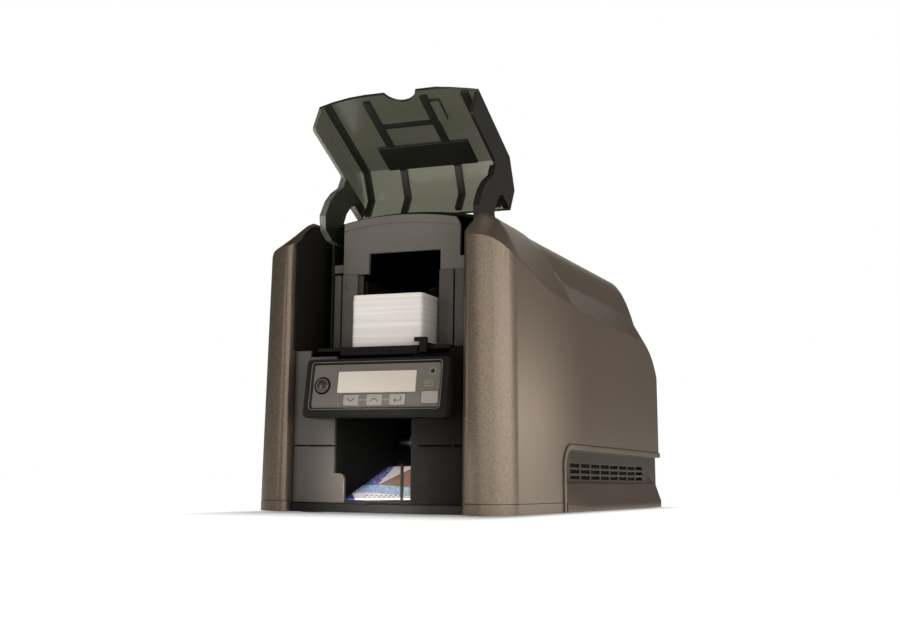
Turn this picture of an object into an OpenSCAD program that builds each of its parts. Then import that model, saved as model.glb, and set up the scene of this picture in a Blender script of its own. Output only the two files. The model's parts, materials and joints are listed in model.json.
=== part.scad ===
// Desktop card printer: sculpted side covers, hinged hopper door, card hopper,
// tilted display panel, output bay and the print mechanism between two chassis plates.
// Millimetres, +Z up, front towards -Y, origin under the middle of the printer.
// Depths (the d values) are measured back from the covers' front inner edges.

/* [Body] */
// Width over the side covers at mid height
body_w = 190; // [180:1:210]
// Depth from the covers' front inner edges to the rear face
body_len = 430; // [410:5:460]
// Height of the ridge along the inner edge of each side cover
ridge_h = 209.5; // [200:0.5:225]
// Rise of the middle covers above the ridge
crown_rise = 7.7; // [4:0.1:10]
// Width of the bay between the two side covers
bay_w = 130.6; // [126:0.2:136]
// Wall thickness of the moulded covers
wall_t = 2.5; // [1.5:0.1:3.5]
// Height of the seam between side cover and skirt
seam_h = 8.5; // [7:0.5:12]
// Gap left at the seams between two mouldings
seam_gap = 0.3; // [0.2:0.05:1]
// Radius of the covers' upright front corner
corner_r = 29; // [20:1:32]
// How far the covers bulge forward of their inner edges
cover_bulge = 5; // [2:0.5:8]
// Radius of the covers' upright rear corner
rear_corner_r = 16; // [8:1:22]
// Inward lean of the outer walls, in degrees
side_draft = 1.1; // [0:0.1:2]
// Thickness of the rubber feet
foot_h = 2; // [1:0.5:4]

/* [Crown] */
// Drop from the ridge to the crease where the outer wall meets the shoulder
crease_drop = 55.5; // [48:0.5:62]
// Drop from the ridge to the valley between shoulder and hump
valley_drop = 29.5; // [24:0.5:36]
// Distance of the valley inside the outer wall
valley_in = 17; // [14:0.5:20]
// Drop from the ridge to the front end of the facet
facet_drop = 18.5; // [14:0.5:22]
// Rise of the front facet per millimetre of depth
facet_slope = 0.7; // [0.5:0.05:1]
// Depth at which the hump starts to stand out of the shoulder
hump_d = 68; // [60:1:90]
// Radius of the turn from the top down to the rear
rear_round = 70; // [50:5:80]

/* [Side vents] */
// Depth of the vent panel's front edge
vent_d = 119; // [100:1:160]
// Height of the vent panel's top edge
vent_h = 52; // [44:1:64]
// Rows of louvres on each side
vent_rows = 3; // [2:1:4]
// Louvre slots in each row
vent_cols = 8; // [5:1:10]

/* [Front] */
// Height of the seam between the lower and upper fascias
fascia_split_h = 46; // [40:1:50]
// Height of the upper fascias' top edge
fascia_top_h = 113; // [108:1:113]
// Left edge of the output bay
bay_left = -32.4; // [-36:0.2:-30]
// Right edge of the output bay
bay_right = 25.8; // [24:0.2:30]
// Thickness of the fascia panels
fascia_t = 3; // [2:0.5:4]

/* [Display] */
// How far the bottom of the display panel stands out in front
display_out = 13; // [10:0.5:16]
// Left end of the display housing
display_left = -48.5; // [-52:0.5:-46]
// Right end of the display housing
display_right = 58; // [55:0.5:60]
// Height of the display housing's front edge
display_low = 67; // [66:0.5:68]
// Length of the display face, measured up its slope
display_face = 38.8; // [37:0.2:40]
// Backward lean of the display face, in degrees
display_tilt = 8.9; // [4:0.1:12]
// Travel of a push button
button_travel = 0.8; // [0.5:0.1:1.2]

/* [Cards] */
// Short edge of a card
card_w = 54; // [53.9:0.05:54.1]
// Long edge of a card
card_l = 85.6; // [85.4:0.05:85.8]
// Corner radius of a card
card_r = 3.18; // [2.5:0.02:3.5]
// Height of the stack in the hopper
stack_h = 36; // [10:1:36]
// Height of the hopper floor
floor_h = 115; // [114.5:0.1:116]
// Slope of the card in the output tray, in degrees
tray_slope = 16; // [12:0.5:18]

/* [Hopper door] */
// Rise of the door's sloped panel
door_rise = 20.3; // [16:0.1:24]
// Depth of the door's sloped panel
door_slope_d = 15.5; // [12:0.5:20]
// Thickness of the door's walls
door_t = 2.5; // [2:0.1:3]
// Turn of the door from closed to open, in degrees
door_open = 117.4; // [90:0.2:117.4]
// Side clearance between door and cover liners
door_side_gap = 0.7; // [0.5:0.1:1]
// Radius of the door's pivot pins
door_pin_r = 3; // [2.5:0.1:3.5]

/* [Mechanism] */
// Half the distance between the chassis plates' inner faces
plate_x = 54; // [53.6:0.1:54.2]
// Thickness of the chassis plates
plate_t = 2; // [1.5:0.1:2.2]
// Height of the card path
path_h = 104; // [102:0.5:106]
// Radius of the roller shafts
shaft_r = 3; // [2.5:0.1:3.5]
// Radial clearance of a shaft or pin in its bore
running_gap = 0.05; // [0.02:0.01:0.08]
// Radius of the transport rollers
roller_r = 7; // [6:0.5:7.5]
// Radius of the platen roller
platen_r = 9; // [8:0.5:9]
// Radius of the belt pulleys
pulley_r = 8; // [7:0.5:9]
// Outer radius of the ribbon wound on a spool
ribbon_r = 15; // [10:0.5:16]

/* [Hidden] */

$fn = 48;
eps = 0.01;
y_front = -(body_len - display_out) / 2;
half_bay = bay_w / 2;
half_body = body_w / 2;
tilt_h = 100;              // height at which the leaning walls stand at half_body
valley_round = 2.3;        // how full the hump and the shoulder are
ridge_x = half_bay - 3.3;  // where the covers start to fall from the ridge
valley_x = half_body - valley_in;
crease_h = ridge_h - crease_drop;
valley_h = ridge_h - valley_drop;
facet_h = ridge_h - facet_drop;
facet_d = facet_drop / facet_slope;
crease_lift = 20;          // how much higher the crease starts at the front
crease_run = 140;          // length over which the crease comes down
rear_round_d = body_len - rear_round;
seat = 0.2;                // gap left where one fixed piece rests against another
rim_h = seam_h - seam_gap; // top of the skirts and of the base pan
front_low = seam_h - 1.2;  // bottom of the lower fascias
bronze = [0.36, 0.32, 0.27];
black = [0.11, 0.11, 0.10];
charcoal = [0.27, 0.27, 0.26];
grey = [0.46, 0.44, 0.41];
steel = [0.62, 0.62, 0.63];
rubber = [0.13, 0.13, 0.13];

// ---- Helpers -------------------------------------------------------------

function at(d) = y_front + d;
function lerp(a, b, t) = a + (b - a) * t;
function ease(t) = let (s = max(0, min(1, t))) s * s * (3 - 2 * s);

// A block between two corners, with its depth measured from the front edges
module block(x, d, z) {
  translate([x[0], at(d[0]), z[0]]) cube([x[1] - x[0], d[1] - d[0], z[1] - z[0]]);
}

// A profile drawn as (depth, height), extruded across
module across(x) {
  translate([x[0], y_front, 0]) rotate([90, 0, 90]) linear_extrude(x[1] - x[0]) children();
}

// A section drawn as (x, height), extruded from front to back
module backward(d) {
  translate([0, at(d[1]), 0]) rotate([90, 0, 0]) linear_extrude(d[1] - d[0]) children();
}

// A plan drawn as (x, depth), extruded upwards
module upward(z) {
  translate([0, y_front, z[0]]) linear_extrude(z[1] - z[0]) children();
}

// A round bar across the printer
module bar_across(r, x, d, z) {
  translate([x[0], at(d), z]) rotate([0, 90, 0]) cylinder(h = x[1] - x[0], r = r);
}

module both_sides() {
  children();
  mirror([1, 0, 0]) children();
}

// A rectangle with rounded corners, between two corners
module soft_rect(a, b, r) {
  translate([a[0] + r, a[1]]) square([b[0] - a[0] - 2 * r, b[1] - a[1]]);
  translate([a[0], a[1] + r]) square([b[0] - a[0], b[1] - a[1] - 2 * r]);
  for (x = [a[0] + r, b[0] - r], y = [a[1] + r, b[1] - r]) translate([x, y]) circle(r);
}

// ---- The crown: one surface that all outer covers share ---------------------

// Ridge height along the depth, with the front facet
function ridge(d) = min(ridge_h, facet_h + facet_slope * d);

// Height of the crease in the outer wall
function crease(d) = crease_h + crease_lift * (1 - ease((d + 10) / crease_run)) - 0.014 * max(0, d - crease_run);

// Drop of the whole top towards the rear face, or of its inner face when t is given
function rear_drop(d, t = 0) = let (r = rear_round - t, s = min(max(0, d - rear_round_d), r - eps))
  rear_round - sqrt(r * r - s * s);

// Shoulder in front of the hump
function shoulder(x, d) = let (u = max(0, (x - ridge_x) / (half_body - ridge_x)))
  ridge(d) - (ridge(d) - crease(d)) * pow(u, valley_round);

// Hump with its valley and the shelf below it
function hump(x, d) = let (u = max(0, (x - ridge_x) / (valley_x - ridge_x)))
  x < valley_x ? ridge(d) - (ridge(d) - valley_h) * pow(u, valley_round)
    : lerp(valley_h, crease(d), (x - valley_x) / (half_body - valley_x));

function hump_share(x, d) = ease((d - hump_d - 2.6 * max(0, x - ridge_x)) / 24);

function middle(a) = ridge_h + crown_rise * (1 - pow(a / (half_bay - 1), 2));

// Height of the outer surface above a point
function crown(x, d) = let (a = abs(x))
  (a < half_bay - 1 ? middle(a) : lerp(shoulder(a, d), hump(a, d), hump_share(a, d))) - rear_drop(d);

// The same surface moved inwards by a wall
function inner_crown(x, d, t) = let (a = abs(x))
  a < half_bay - 1 ? middle(a) - rear_drop(d, t) : min(crown(a + t, d - t), crown(a + t, d + t)) - t * 0.6;

// Solid under the crown over a grid of stations, or under its inner face when t is given
module under_crown(xs, ds, low, t = 0) {
  nx = len(xs);
  nd = len(ds);
  n = nx * nd;
  top = [for (d = ds, x = xs) [x, at(d), t == 0 ? crown(x, d) : inner_crown(x, d, t)]];
  corners = [for (d = [ds[0], ds[nd - 1]], x = [xs[0], xs[nx - 1]]) [x, at(d), low]];
  function id(i, j) = j * nx + i;
  function fan(tip, edge) = [for (k = [0:len(edge) - 2]) [tip, edge[k], edge[k + 1]]];
  polyhedron(concat(top, corners), concat(
    [for (j = [0:nd - 2], i = [0:nx - 2]) each [
      [id(i, j), id(i, j + 1), id(i + 1, j + 1)], [id(i, j), id(i + 1, j + 1), id(i + 1, j)]]],
    [[n, n + 1, n + 3], [n, n + 3, n + 2]],
    fan(n, concat([for (i = [0:nx - 1]) id(i, 0)], [n + 1])),
    fan(n + 1, concat([for (j = [0:nd - 1]) id(nx - 1, j)], [n + 3])),
    fan(n + 3, concat([for (i = [nx - 1:-1:0]) id(i, nd - 1)], [n + 2])),
    fan(n + 2, concat([for (j = [nd - 1:-1:0]) id(0, j)], [n]))));
}

function rear_stations(step) = [for (a = [0:step:90 - step]) rear_round_d + rear_round * sin(a)];

// ---- Side covers -------------------------------------------------------------

// Plan of the outer wall: bulged front corner, side and rear corner
module wall_plan(inset, outer = half_body) {
  cx = outer - corner_r;
  cd = corner_r - cover_bulge;
  rr = rear_corner_r;
  translate([cx - corner_r, inset - cover_bulge]) square([corner_r, body_len + cover_bulge - 2 * inset]);
  translate([cx, cd]) square([corner_r - rr, body_len - inset - cd]);
  translate([outer - rr, cd]) square([rr - inset, body_len - rr - cd]);
  translate([cx, cd]) circle(corner_r - inset, $fn = 96);
  translate([outer - rr, body_len - rr]) circle(rr - inset);
}

// Plan of the inner edge: a rolled front edge along the bay
module edge_plan(inset) {
  roll_r = 5;
  r = roll_r - inset;
  c = [half_bay + roll_r, 0.2];
  a = 250;
  far = half_body + 20;
  end = c + r * [cos(a), sin(a)];
  polygon(concat([[c[0] - r, body_len + 30]], [for (k = [180:17.5:a]) c + r * [cos(k), sin(k)]],
    [[far, end[1] - (far - end[0]) * tan(a - 230)], [far, body_len + 30]]));
}

// Leans the outer walls inwards about mid height
module leaning() {
  translate([half_body, 0, tilt_h]) rotate([0, -side_draft, 0]) translate([-half_body, 0, -tilt_h])
    children();
}

module cover_form(inset, low) {
  intersection() {
    leaning() upward([-20, ridge_h + 40]) wall_plan(inset);
    upward([low, ridge_h + 30]) edge_plan(inset);
  }
}

// Outline of the opening for the vent panel, as (depth, height)
module vent_outline(grow) {
  r = 19;
  translate([vent_d + r, -10]) square([body_len - vent_d, vent_h + grow + 10]);
  translate([vent_d - grow, -10]) square([body_len - vent_d, vent_h - r + 10]);
  translate([vent_d + r, vent_h - r]) circle(r + grow);
}

// Stations across a cover, closer together about the valley
function cover_xs(start, up, down, end) = concat([for (t = up) lerp(start, valley_x, t)],
  [for (t = down) lerp(valley_x, end, t)]);

outer_xs = cover_xs(half_bay - 0.9, [0, 0.19, 0.38, 0.56, 0.72, 0.87, 0.97], [0.02, 0.1, 0.29, 0.52, 0.71, 1],
  half_body + 4);
inner_xs = cover_xs(half_bay - 5, [0, 0.43, 0.66, 0.83, 0.96], [0.16, 0.53, 1], half_body + 2);
cover_front = -cover_bulge - 4;
hump_ds = [for (i = [0:12]) hump_d + 2 + 9 * i];
outer_ds = concat([for (i = [0:6]) lerp(cover_front, facet_d, i / 6)],
  [for (t = [0.2, 0.5, 0.8]) lerp(facet_d, hump_d, t)], hump_ds, [lerp(hump_d, rear_round_d, 0.65)],
  rear_stations(9), [body_len + 5]);
inner_ds = concat([for (i = [0:3]) lerp(cover_front, facet_d, i / 3)], [lerp(facet_d, hump_d, 0.5)], hump_ds,
  rear_stations(15), [body_len + 5]);

vent_x = half_body - 12;                            // inner edge of the vent panel
screw_hs = [40, 92];
screw_x = (half_bay + half_body) / 2 - 2.8;
screw_r = 3.2;
screw_in = 1.4;

module side_cover() {
  lip_d = 12;
  difference() {
    intersection() {
      cover_form(0, seam_h);
      under_crown(outer_xs, outer_ds, -25);
    }
    intersection() {
      union() {
        cover_form(wall_t, -5);
        // the inner side is open behind the front lip
        block([half_bay - 3, half_bay + 6], [lip_d, body_len - wall_t], [-5, ridge_h + 20]);
      }
      under_crown(inner_xs, inner_ds, -15, wall_t);
    }
    across([vent_x, half_body + 15]) vent_outline(0);
    // recesses for the screw heads
    for (z = screw_hs) translate([screw_x, at(body_len) + 1, z]) rotate([90, 0, 0])
      cylinder(h = screw_in + 1, r = screw_r + seat);
  }
}

module right_cover() {
  color(bronze) side_cover();
}

module left_cover() {
  color(bronze) mirror([1, 0, 0]) side_cover();
}

// Bottom trim under a side cover, stepping back behind the vent panel
skirt_low = foot_h - 1;
strip_x = [vent_x - 3, vent_x - 0.5];

module skirt() {
  flare = half_body + skirt_flare;
  z = [skirt_low, rim_h];
  difference() {
    upward(z) intersection() {
      wall_plan(0, flare);
      edge_plan(0);
    }
    upward([z[0] - 1, z[1] + 1]) {
      intersection() {
        wall_plan(wall_t, flare);
        edge_plan(wall_t);
      }
      translate([half_bay - 1, 12]) square([10, body_len - 12 - wall_t]);
    }
    across([vent_x, half_body + 15]) vent_outline(0);
  }
  block([strip_x[0], flare - 1], [vent_d - wall_t, vent_d], z);
  block(strip_x, [vent_d - wall_t, body_len - wall_t + 0.3], z);
}

module right_skirt() {
  color(bronze * 0.9) skirt();
}

module left_skirt() {
  color(bronze * 0.9) mirror([1, 0, 0]) skirt();
}

// Scooped vent panel with its proud rim, flared foot and louvre slots
module vent_panel() {
  rim = 4.5;
  rim_out = 1.2;
  face_in = 3.5;
  foot_out = 3.4;
  foot_d = vent_d + seam_gap + rim + 2;
  slot_h = 2.4;
  slot_pitch = 4.6;
  slots_low = 26.5;
  slots_d = [vent_d + 27, body_len - 62];
  col_pitch = (slots_d[1] - slots_d[0]) / vent_cols;
  slot_gap = 3;
  corner_x = half_body - rear_corner_r;
  corner_d = body_len - rear_corner_r - 1;
  module foot_profile() {
    polygon([[rear_corner_r - 3.4, skirt_low], [rear_corner_r + foot_out, skirt_low],
      [rear_corner_r + foot_out, skirt_low + 6], [rear_corner_r - 2.6, slots_low - 2.5]]);
  }
  module plan(inset) {
    upward([-30, vent_h + 20]) wall_plan(inset);
  }
  intersection() {
    union() {
      difference() {
        leaning() difference() {
          intersection() {
            across([vent_x - 5, half_body + 5]) vent_outline(-seam_gap);
            plan(-rim_out);
          }
          // scooped face inside the rim
          difference() {
            across([vent_x - 5, half_body + 5]) vent_outline(-seam_gap - rim);
            plan(face_in);
          }
          // hollow back
          intersection() {
            across([vent_x - 10, half_body + 5]) vent_outline(-seam_gap - wall_t);
            plan(face_in + wall_t);
          }
        }
        // slanted louvre slots
        for (row = [0:vent_rows - 1], col = [0:vent_cols - 1])
          translate([half_body - face_in - 1, at(slots_d[0] + col * col_pitch + slot_gap / 2),
            slots_low + row * slot_pitch])
            rotate([0, 20, 0]) translate([-7, 0, 0]) cube([14, col_pitch - slot_gap, slot_h]);
      }
      // flared foot below the slots, turned round the rear corner
      backward([foot_d, corner_d]) translate([corner_x, 0]) foot_profile();
      translate([corner_x, at(corner_d), 0]) rotate_extrude(angle = 90) foot_profile();
    }
    block([vent_x + seam_gap, half_body + 10], [vent_d, body_len], [skirt_low, vent_h]);
  }
}

module right_vent_panel() {
  color(bronze * 0.95) vent_panel();
}

module left_vent_panel() {
  color(bronze * 0.95) mirror([1, 0, 0]) vent_panel();
}

// Black inner skin of the covers beside the hopper
liner_t = 1.1;
liner_d = [1.5, 117.6];

module liner() {
  intersection() {
    block([half_bay - liner_t - 0.15, half_bay - 0.15], liner_d, [fascia_top_h + 0.4, ridge_h + 20]);
    across([half_bay - 5, half_bay + 1]) polygon([[0, 0], [0, facet_h - wall_t],
      [facet_d, ridge_h - wall_t], [liner_d[1] + 1, ridge_h - wall_t], [liner_d[1] + 1, 0]]);
  }
}

module right_liner() {
  color(black) liner();
}

module left_liner() {
  color(black) mirror([1, 0, 0]) liner();
}

// ---- Middle covers --------------------------------------------------------------

mid_half = half_bay - 1.6;
mid_xs = [for (i = [-6:6]) i * (mid_half + 3) / 6];
hood_d = [48, 118];
top_hinge_d = body_len - 26;
top_hinge_h = ridge_h - 23;
top_pin_r = 2;
top_cover_d = [hood_d[1] + 0.5, body_len - 32];
// gap that the lid's rear edge swings through
lid_gap = 4.3;
rear_cover_front = top_cover_d[1] + lid_gap;
ear_x = [plate_x - 3.8, plate_x - 0.4];

// Slice of the crowned middle skin between two depths
module mid_skin(d, low) {
  ds = [for (s = rear_stations(11.25)) if (s > d[0] + 1 && s < d[1] - 1) s];
  difference() {
    intersection() {
      block([-mid_half, mid_half], d, [low, ridge_h + 20]);
      under_crown(mid_xs, concat([d[0] - 1], ds, [d[1] + 1]), low - 5);
    }
    intersection() {
      block([-mid_half + wall_t, mid_half - wall_t], [d[0] - 5, d[1] + 5], [low - 1, ridge_h + 20]);
      under_crown(mid_xs, concat([d[0] - 6], ds, [d[1] + 6]), low - 6, wall_t);
    }
  }
}

// Fixed hood over the hopper, notched for the door's arms
module hopper_hood() {
  arm_notch = [56.3, half_bay - 1.3];
  color(black) difference() {
    mid_skin(hood_d, ridge_h - 12);
    both_sides() block([arm_notch[0], mid_half + 1], [hood_d[0] - 1, hood_d[0] + 46], [ridge_h - 20, ridge_h + 10]);
  }
  // feet that stand on the chassis plates
  color(black) both_sides() plate_foot([hood_d[1] - 18, hood_d[1] - 4]);
}

// Foot under a middle cover, down to the top of a chassis plate
module plate_foot(d) {
  block([plate_x, plate_x + plate_t], d, [chassis_h + seat, crown(plate_x + plate_t, 0) - 1]);
}

// Lid over the ribbon, hinged at the rear
module top_cover() {
  color(black) {
    difference() {
      mid_skin(top_cover_d, ridge_h - 14);
      both_sides() block([plate_x - 4, mid_half + 1], [top_hinge_d - 24, body_len], [ridge_h - 60, ridge_h - 11]);
    }
    both_sides() difference() {
      union() {
        across(ear_x) polygon([[top_hinge_d - 16, crown(plate_x, top_hinge_d - 16) - wall_t + 0.5],
          [top_hinge_d - 24, crown(plate_x, top_hinge_d - 24) - wall_t + 0.5],
          [top_hinge_d - 24, top_hinge_h + 2], [top_hinge_d - 6, top_hinge_h - 4],
          [top_hinge_d, top_hinge_h - 4], [top_hinge_d, top_hinge_h + 4],
          [top_cover_d[1] - 1, crown(plate_x, top_cover_d[1] - 1) - wall_t + 0.5]]);
        bar_across(4, ear_x, top_hinge_d, top_hinge_h);
      }
      bar_across(top_pin_r + running_gap, [ear_x[0] - 1, ear_x[1] + 1], top_hinge_d, top_hinge_h);
    }
    both_sides() plate_foot([top_cover_d[0] + 4, top_cover_d[0] + 16]);
  }
}

inlet_x = 34;
inlet_h = 32;
usb_x = -6;
lan_x = -30;
port_h = 30;
fan_x = 22;
fan_h = 92;
fan_r = 18;

// Port openings and fan slots through the rear wall
module rear_openings() {
  d = [body_len - 10, body_len + 10];
  block([inlet_x - 14, inlet_x + 14], d, [inlet_h - 10.5, inlet_h + 10.5]);
  block([usb_x - 6.3, usb_x + 6.3], d, [port_h - 5.8, port_h + 5.8]);
  block([lan_x - 8.2, lan_x + 8.2], d, [port_h - 7, port_h + 7]);
  for (i = [-3:3])
    block([fan_x + i * 5 - 1.5, fan_x + i * 5 + 1.5], d,
      [fan_h - sqrt(fan_r * fan_r - i * i * 25), fan_h + sqrt(fan_r * fan_r - i * i * 25)]);
}

// Fixed rear shell with its curved top
module rear_cover() {
  color(black) difference() {
    union() {
      difference() {
        mid_skin([rear_cover_front, body_len + 5], rim_h + seat);
        block([-half_body, half_body], [body_len, body_len + 20], [-5, ridge_h]);
      }
      block([-mid_half, mid_half], [body_len - wall_t, body_len], [foot_h + 0.5, crown(mid_half, body_len) - 1]);
    }
    rear_openings();
    // slots for the top cover's ears as they swing up
    both_sides() block([ear_x[0] - 0.4, ear_x[1] + 0.4], [rear_cover_front - 1, top_hinge_d + 14.5],
      [top_hinge_h - 8, ridge_h + 20]);
  }
}

// ---- Base and chassis --------------------------------------------------------------

base_x = half_bay - 0.9;
skirt_flare = 1.9;
base_wide = strip_x[0] - seat;
pan_floor = foot_h + 2.5;
chassis_h = ridge_h - 14.5;
pivot_d = 68;
pivot_h = ridge_h - 10.5;
pivot_lug_r = 7;
hopper_plane = 37;

// Plan of the base pan between the skirts
module pan_plan(inset) {
  front = 14 + inset;
  rear = body_len - wall_t - seat - inset;
  w = base_wide - inset;
  cut = 6;
  polygon([[-w + cut, front], [w - cut, front], [w, front + cut], [w, rear - cut],
    [w - cut, rear], [-w + cut, rear], [-w, rear - cut], [-w, front + cut]]);
}

// Tray that carries everything, with its strip across the front
module base_pan() {
  color(black) {
    difference() {
      upward([foot_h, rim_h]) pan_plan(0);
      upward([pan_floor, rim_h + 1]) pan_plan(2.5);
      block([-base_x, base_x], [13, 17], [front_low - seat, rim_h + 1]);
    }
    block([-base_x, base_x], [2, 14], [1, front_low - seat]);
  }
}

module rubber_feet() {
  color(rubber) for (x = [-base_wide + 16, base_wide - 16], d = [34, body_len - 34])
    translate([x, at(d), 0]) cylinder(h = foot_h, r = 9);
}

// Side plate of the chassis with its shaft holes
clean_d = 156;
// from the feed roller's shaft to the cleaning roller's
roller_step = 28;
feed_d = clean_d - roller_step;
platen_d = 208;
pick_d = 76;
pick_h = floor_h - 9.4;
exit_d = 116;
exit_h = 52;
supply_d = 182;
takeup_d = 240;
spool_h = 166;
shaft_places = [[feed_d, path_h], [clean_d, path_h], [platen_d, path_h], [pick_d, pick_h],
  [exit_d, exit_h]];
spool_places = [[supply_d, spool_h], [takeup_d, spool_h]];
bar_r = 4;
bar_places = [[118, 84], [150, 24], [300, 150], [380, 150]];
head_pivot = [244, 127];
head_pin_r = 2;
motor_d = 208;
motor_h = 58;
motor_boss_r = 6;

module chassis_plate() {
  x = [plate_x, plate_x + plate_t];
  module hole(r, p) {
    bar_across(r + running_gap, [x[0] - 1, x[1] + 1], p[0], p[1]);
  }
  difference() {
    union() {
      across(x) polygon([[17, pan_floor], [body_len - 14, pan_floor], [body_len - 14, 120],
        [top_hinge_d + 4, top_hinge_h - 10], [top_hinge_d + 4, top_hinge_h],
        [top_hinge_d - 4, top_hinge_h], [top_hinge_d - 16, chassis_h - 6],
        [rear_round_d, chassis_h], [hopper_plane + 1, chassis_h], [hopper_plane + 1, 106],
        [fascia_d + fascia_t + seat, 106], [fascia_d + fascia_t + seat, 12], [17, 12]]);
      bar_across(4, x, top_hinge_d, top_hinge_h);
      // lug for the hopper door's pivot
      bar_across(pivot_lug_r, x, pivot_d, pivot_h);
      block(x, [pivot_d - pivot_lug_r, pivot_d + pivot_lug_r], [chassis_h - 20, pivot_h]);
    }
    for (p = concat(shaft_places, spool_places)) hole(shaft_r, p);
    for (p = bar_places) hole(bar_r - 1.5, p);
    hole(top_pin_r, [top_hinge_d, top_hinge_h]);
    hole(door_pin_r, [pivot_d, pivot_h]);
    hole(head_pin_r, head_pivot);
    bar_across(motor_boss_r, [x[0] - 1, x[1] + 1], motor_d, motor_h);
  }
}

module chassis_right() {
  color(steel) chassis_plate();
}

module chassis_left() {
  color(steel) mirror([1, 0, 0]) chassis_plate();
}

// Spacer bars between the plates, stepped into their holes, and the head's pivot rod
module cross_bars() {
  ends = [-plate_x - plate_t, plate_x + plate_t];
  color(steel) {
    for (p = bar_places) {
      bar_across(bar_r, [-plate_x, plate_x], p[0], p[1]);
      bar_across(bar_r - 1.5, ends, p[0], p[1]);
    }
    bar_across(head_pin_r, ends, head_pivot[0], head_pivot[1]);
  }
}

module hinge_pins() {
  color(steel) both_sides() bar_across(top_pin_r, [plate_x - 4.2, plate_x + plate_t], top_hinge_d, top_hinge_h);
}

// Pivot pins of the hopper door with their shoulders
module door_pins() {
  color(steel) both_sides() {
    bar_across(door_pin_r, [plate_x, half_bay - liner_t - 0.35], pivot_d, pivot_h);
    bar_across(door_pin_r + 2.5, [plate_x + plate_t, door_arm_x[0] - 0.2], pivot_d, pivot_h);
  }
}

// ---- Card hopper ---------------------------------------------------------------------

window_x = [-25, 31.5];
window_h = ridge_h - 23.1;
legs_h = ridge_h - 38.1;
column_top = legs_h - 0.4;
stack_x = card_w / 2;
stack_d = 15.3;

// Arched plate behind the hopper opening
module hopper_frame() {
  arch_r = 236;
  arch_h = ridge_h + 4;
  d = [hopper_plane, hopper_plane + 3];
  color(grey) difference() {
    backward(d) difference() {
      intersection() {
        translate([-2, arch_h - arch_r]) circle(arch_r, $fn = 180);
        union() {
          translate([-45.6, legs_h]) square([45.6 + 32, 60]);
          translate([20, legs_h]) square([26.4, ridge_h - 8.5 - legs_h]);
          translate([32.4, ridge_h - 9.5]) circle(14);
        }
      }
      translate([window_x[0], 100]) square([window_x[1] - window_x[0], window_h - 100]);
    }
    // seam line below the arch
    backward([hopper_plane - 1, hopper_plane + 0.5]) difference() {
      translate([-2, arch_h - 5.6 - arch_r]) circle(arch_r, $fn = 180);
      translate([-2, arch_h - 6.3 - arch_r]) circle(arch_r, $fn = 180);
      translate([-300, -200]) square([600, 200 + window_h + 6]);
    }
  }
  color(grey) {
    // shoulder over the right column
    block([46.4, 51.2], d, [legs_h, legs_h + 9.6]);
    // ears that reach the chassis plates
    block([-plate_x + 0.1, -44], [d[1] - 1, d[1] + 1], [legs_h + 2, legs_h + 8]);
    block([45, plate_x - 0.1], [d[1] - 1, d[1] + 1], [legs_h + 2, legs_h + 8]);
  }
}

// Upright guides each side of the cards
module hopper_columns() {
  low = floor_h + seat;
  module column(x) {
    block(x, [hopper_plane - 2, hopper_plane + 3], [low, column_top]);
  }
  color(grey * 0.85) {
    difference() {
      column([-45, -33]);
      bar_front(4, -39, hopper_plane - 2, column_top - 7, 0.8);
    }
    column([31.6, 42.4]);
    column([-51.5, -46.5]);
    column([43.6, 51.2]);
    // backing webs that join the guides
    block([-51.5, -31], [hopper_plane + 3, hopper_plane + 5], [low, column_top]);
    block([31, 51.2], [hopper_plane + 3, hopper_plane + 5], [low, column_top]);
  }
}

// A round recess seen from the front
module bar_front(r, x, d, z, depth) {
  translate([x, at(d + depth), z]) rotate([90, 0, 0]) cylinder(h = depth + 1, r = r);
}

module hopper_floor() {
  color(black) difference() {
    union() {
      block([-plate_x, plate_x], [hopper_plane - 2, stack_d + card_l + 11], [floor_h - 2.5, floor_h]);
      block([-plate_x + 3, plate_x - 3], [10.1, hopper_plane - 2], [floor_h - 2.5, floor_h]);
      block([-31, 28], [fascia_d + fascia_t, 10.1], [floor_h - 6, floor_h]);
    }
    block([-10, 10], [pick_d - 13, pick_d + 13], [floor_h - 5, floor_h + 1]);
  }
}

// Side and rear walls around the stack
module hopper_guides() {
  gap = 1;
  color(black) difference() {
    block([-stack_x - gap - 2.5, stack_x + gap + 2.5], [hopper_plane + 5.3, stack_d + card_l + gap + 2.5],
      [floor_h, column_top - 4]);
    block([-stack_x - gap, stack_x + gap], [hopper_plane, stack_d + card_l + gap], [floor_h - 1, column_top]);
  }
}

module card_outline() {
  soft_rect([-stack_x, 0], [stack_x, card_l], card_r);
}

// Stack of blank cards, each a little out of line with the next
module card_stack() {
  packs = 6;
  pack_h = (stack_h - 0.1) / packs;
  color([0.95, 0.94, 0.93]) for (i = [0:packs - 1])
    translate([0, (i % 2) * 0.5, 0]) upward([floor_h + 0.1 + i * pack_h, floor_h + 0.1 + (i + 1) * pack_h])
      translate([((i * 7) % 3 - 1) * 0.15, stack_d]) card_outline();
}

// Hook that stops the lowest card at the front
module card_stop() {
  color(black) {
    block([29.4, 34.8], [6.7, 10], [floor_h - 5, floor_h + 5.5]);
    block([25.5, 29.4], [6.7, 10], [floor_h + 2.5, floor_h + 5.5]);
    block([29.4, 34.8], [10, 34], [floor_h, floor_h + 2]);
  }
}

// ---- Hopper door ----------------------------------------------------------------------

door_x = half_bay - liner_t - 0.15 - door_side_gap;
door_arm_x = [door_x - 5, door_x];
door_low = floor_h + 2;
door_top = [door_slope_d, ridge_h + 0.8];
door_bend = [0, door_top[1] - door_rise];
door_end = 34.5;
flange = 22.5;

// Side outline of the closed door's skin as (depth, height)
module door_skin(inset) {
  polygon([[inset, -100], [inset, door_bend[1] - inset * 0.33], [door_top[0] + inset * 0.62, door_top[1] - inset],
    [door_end, door_top[1] - inset], [door_end, -100]]);
}

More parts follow.
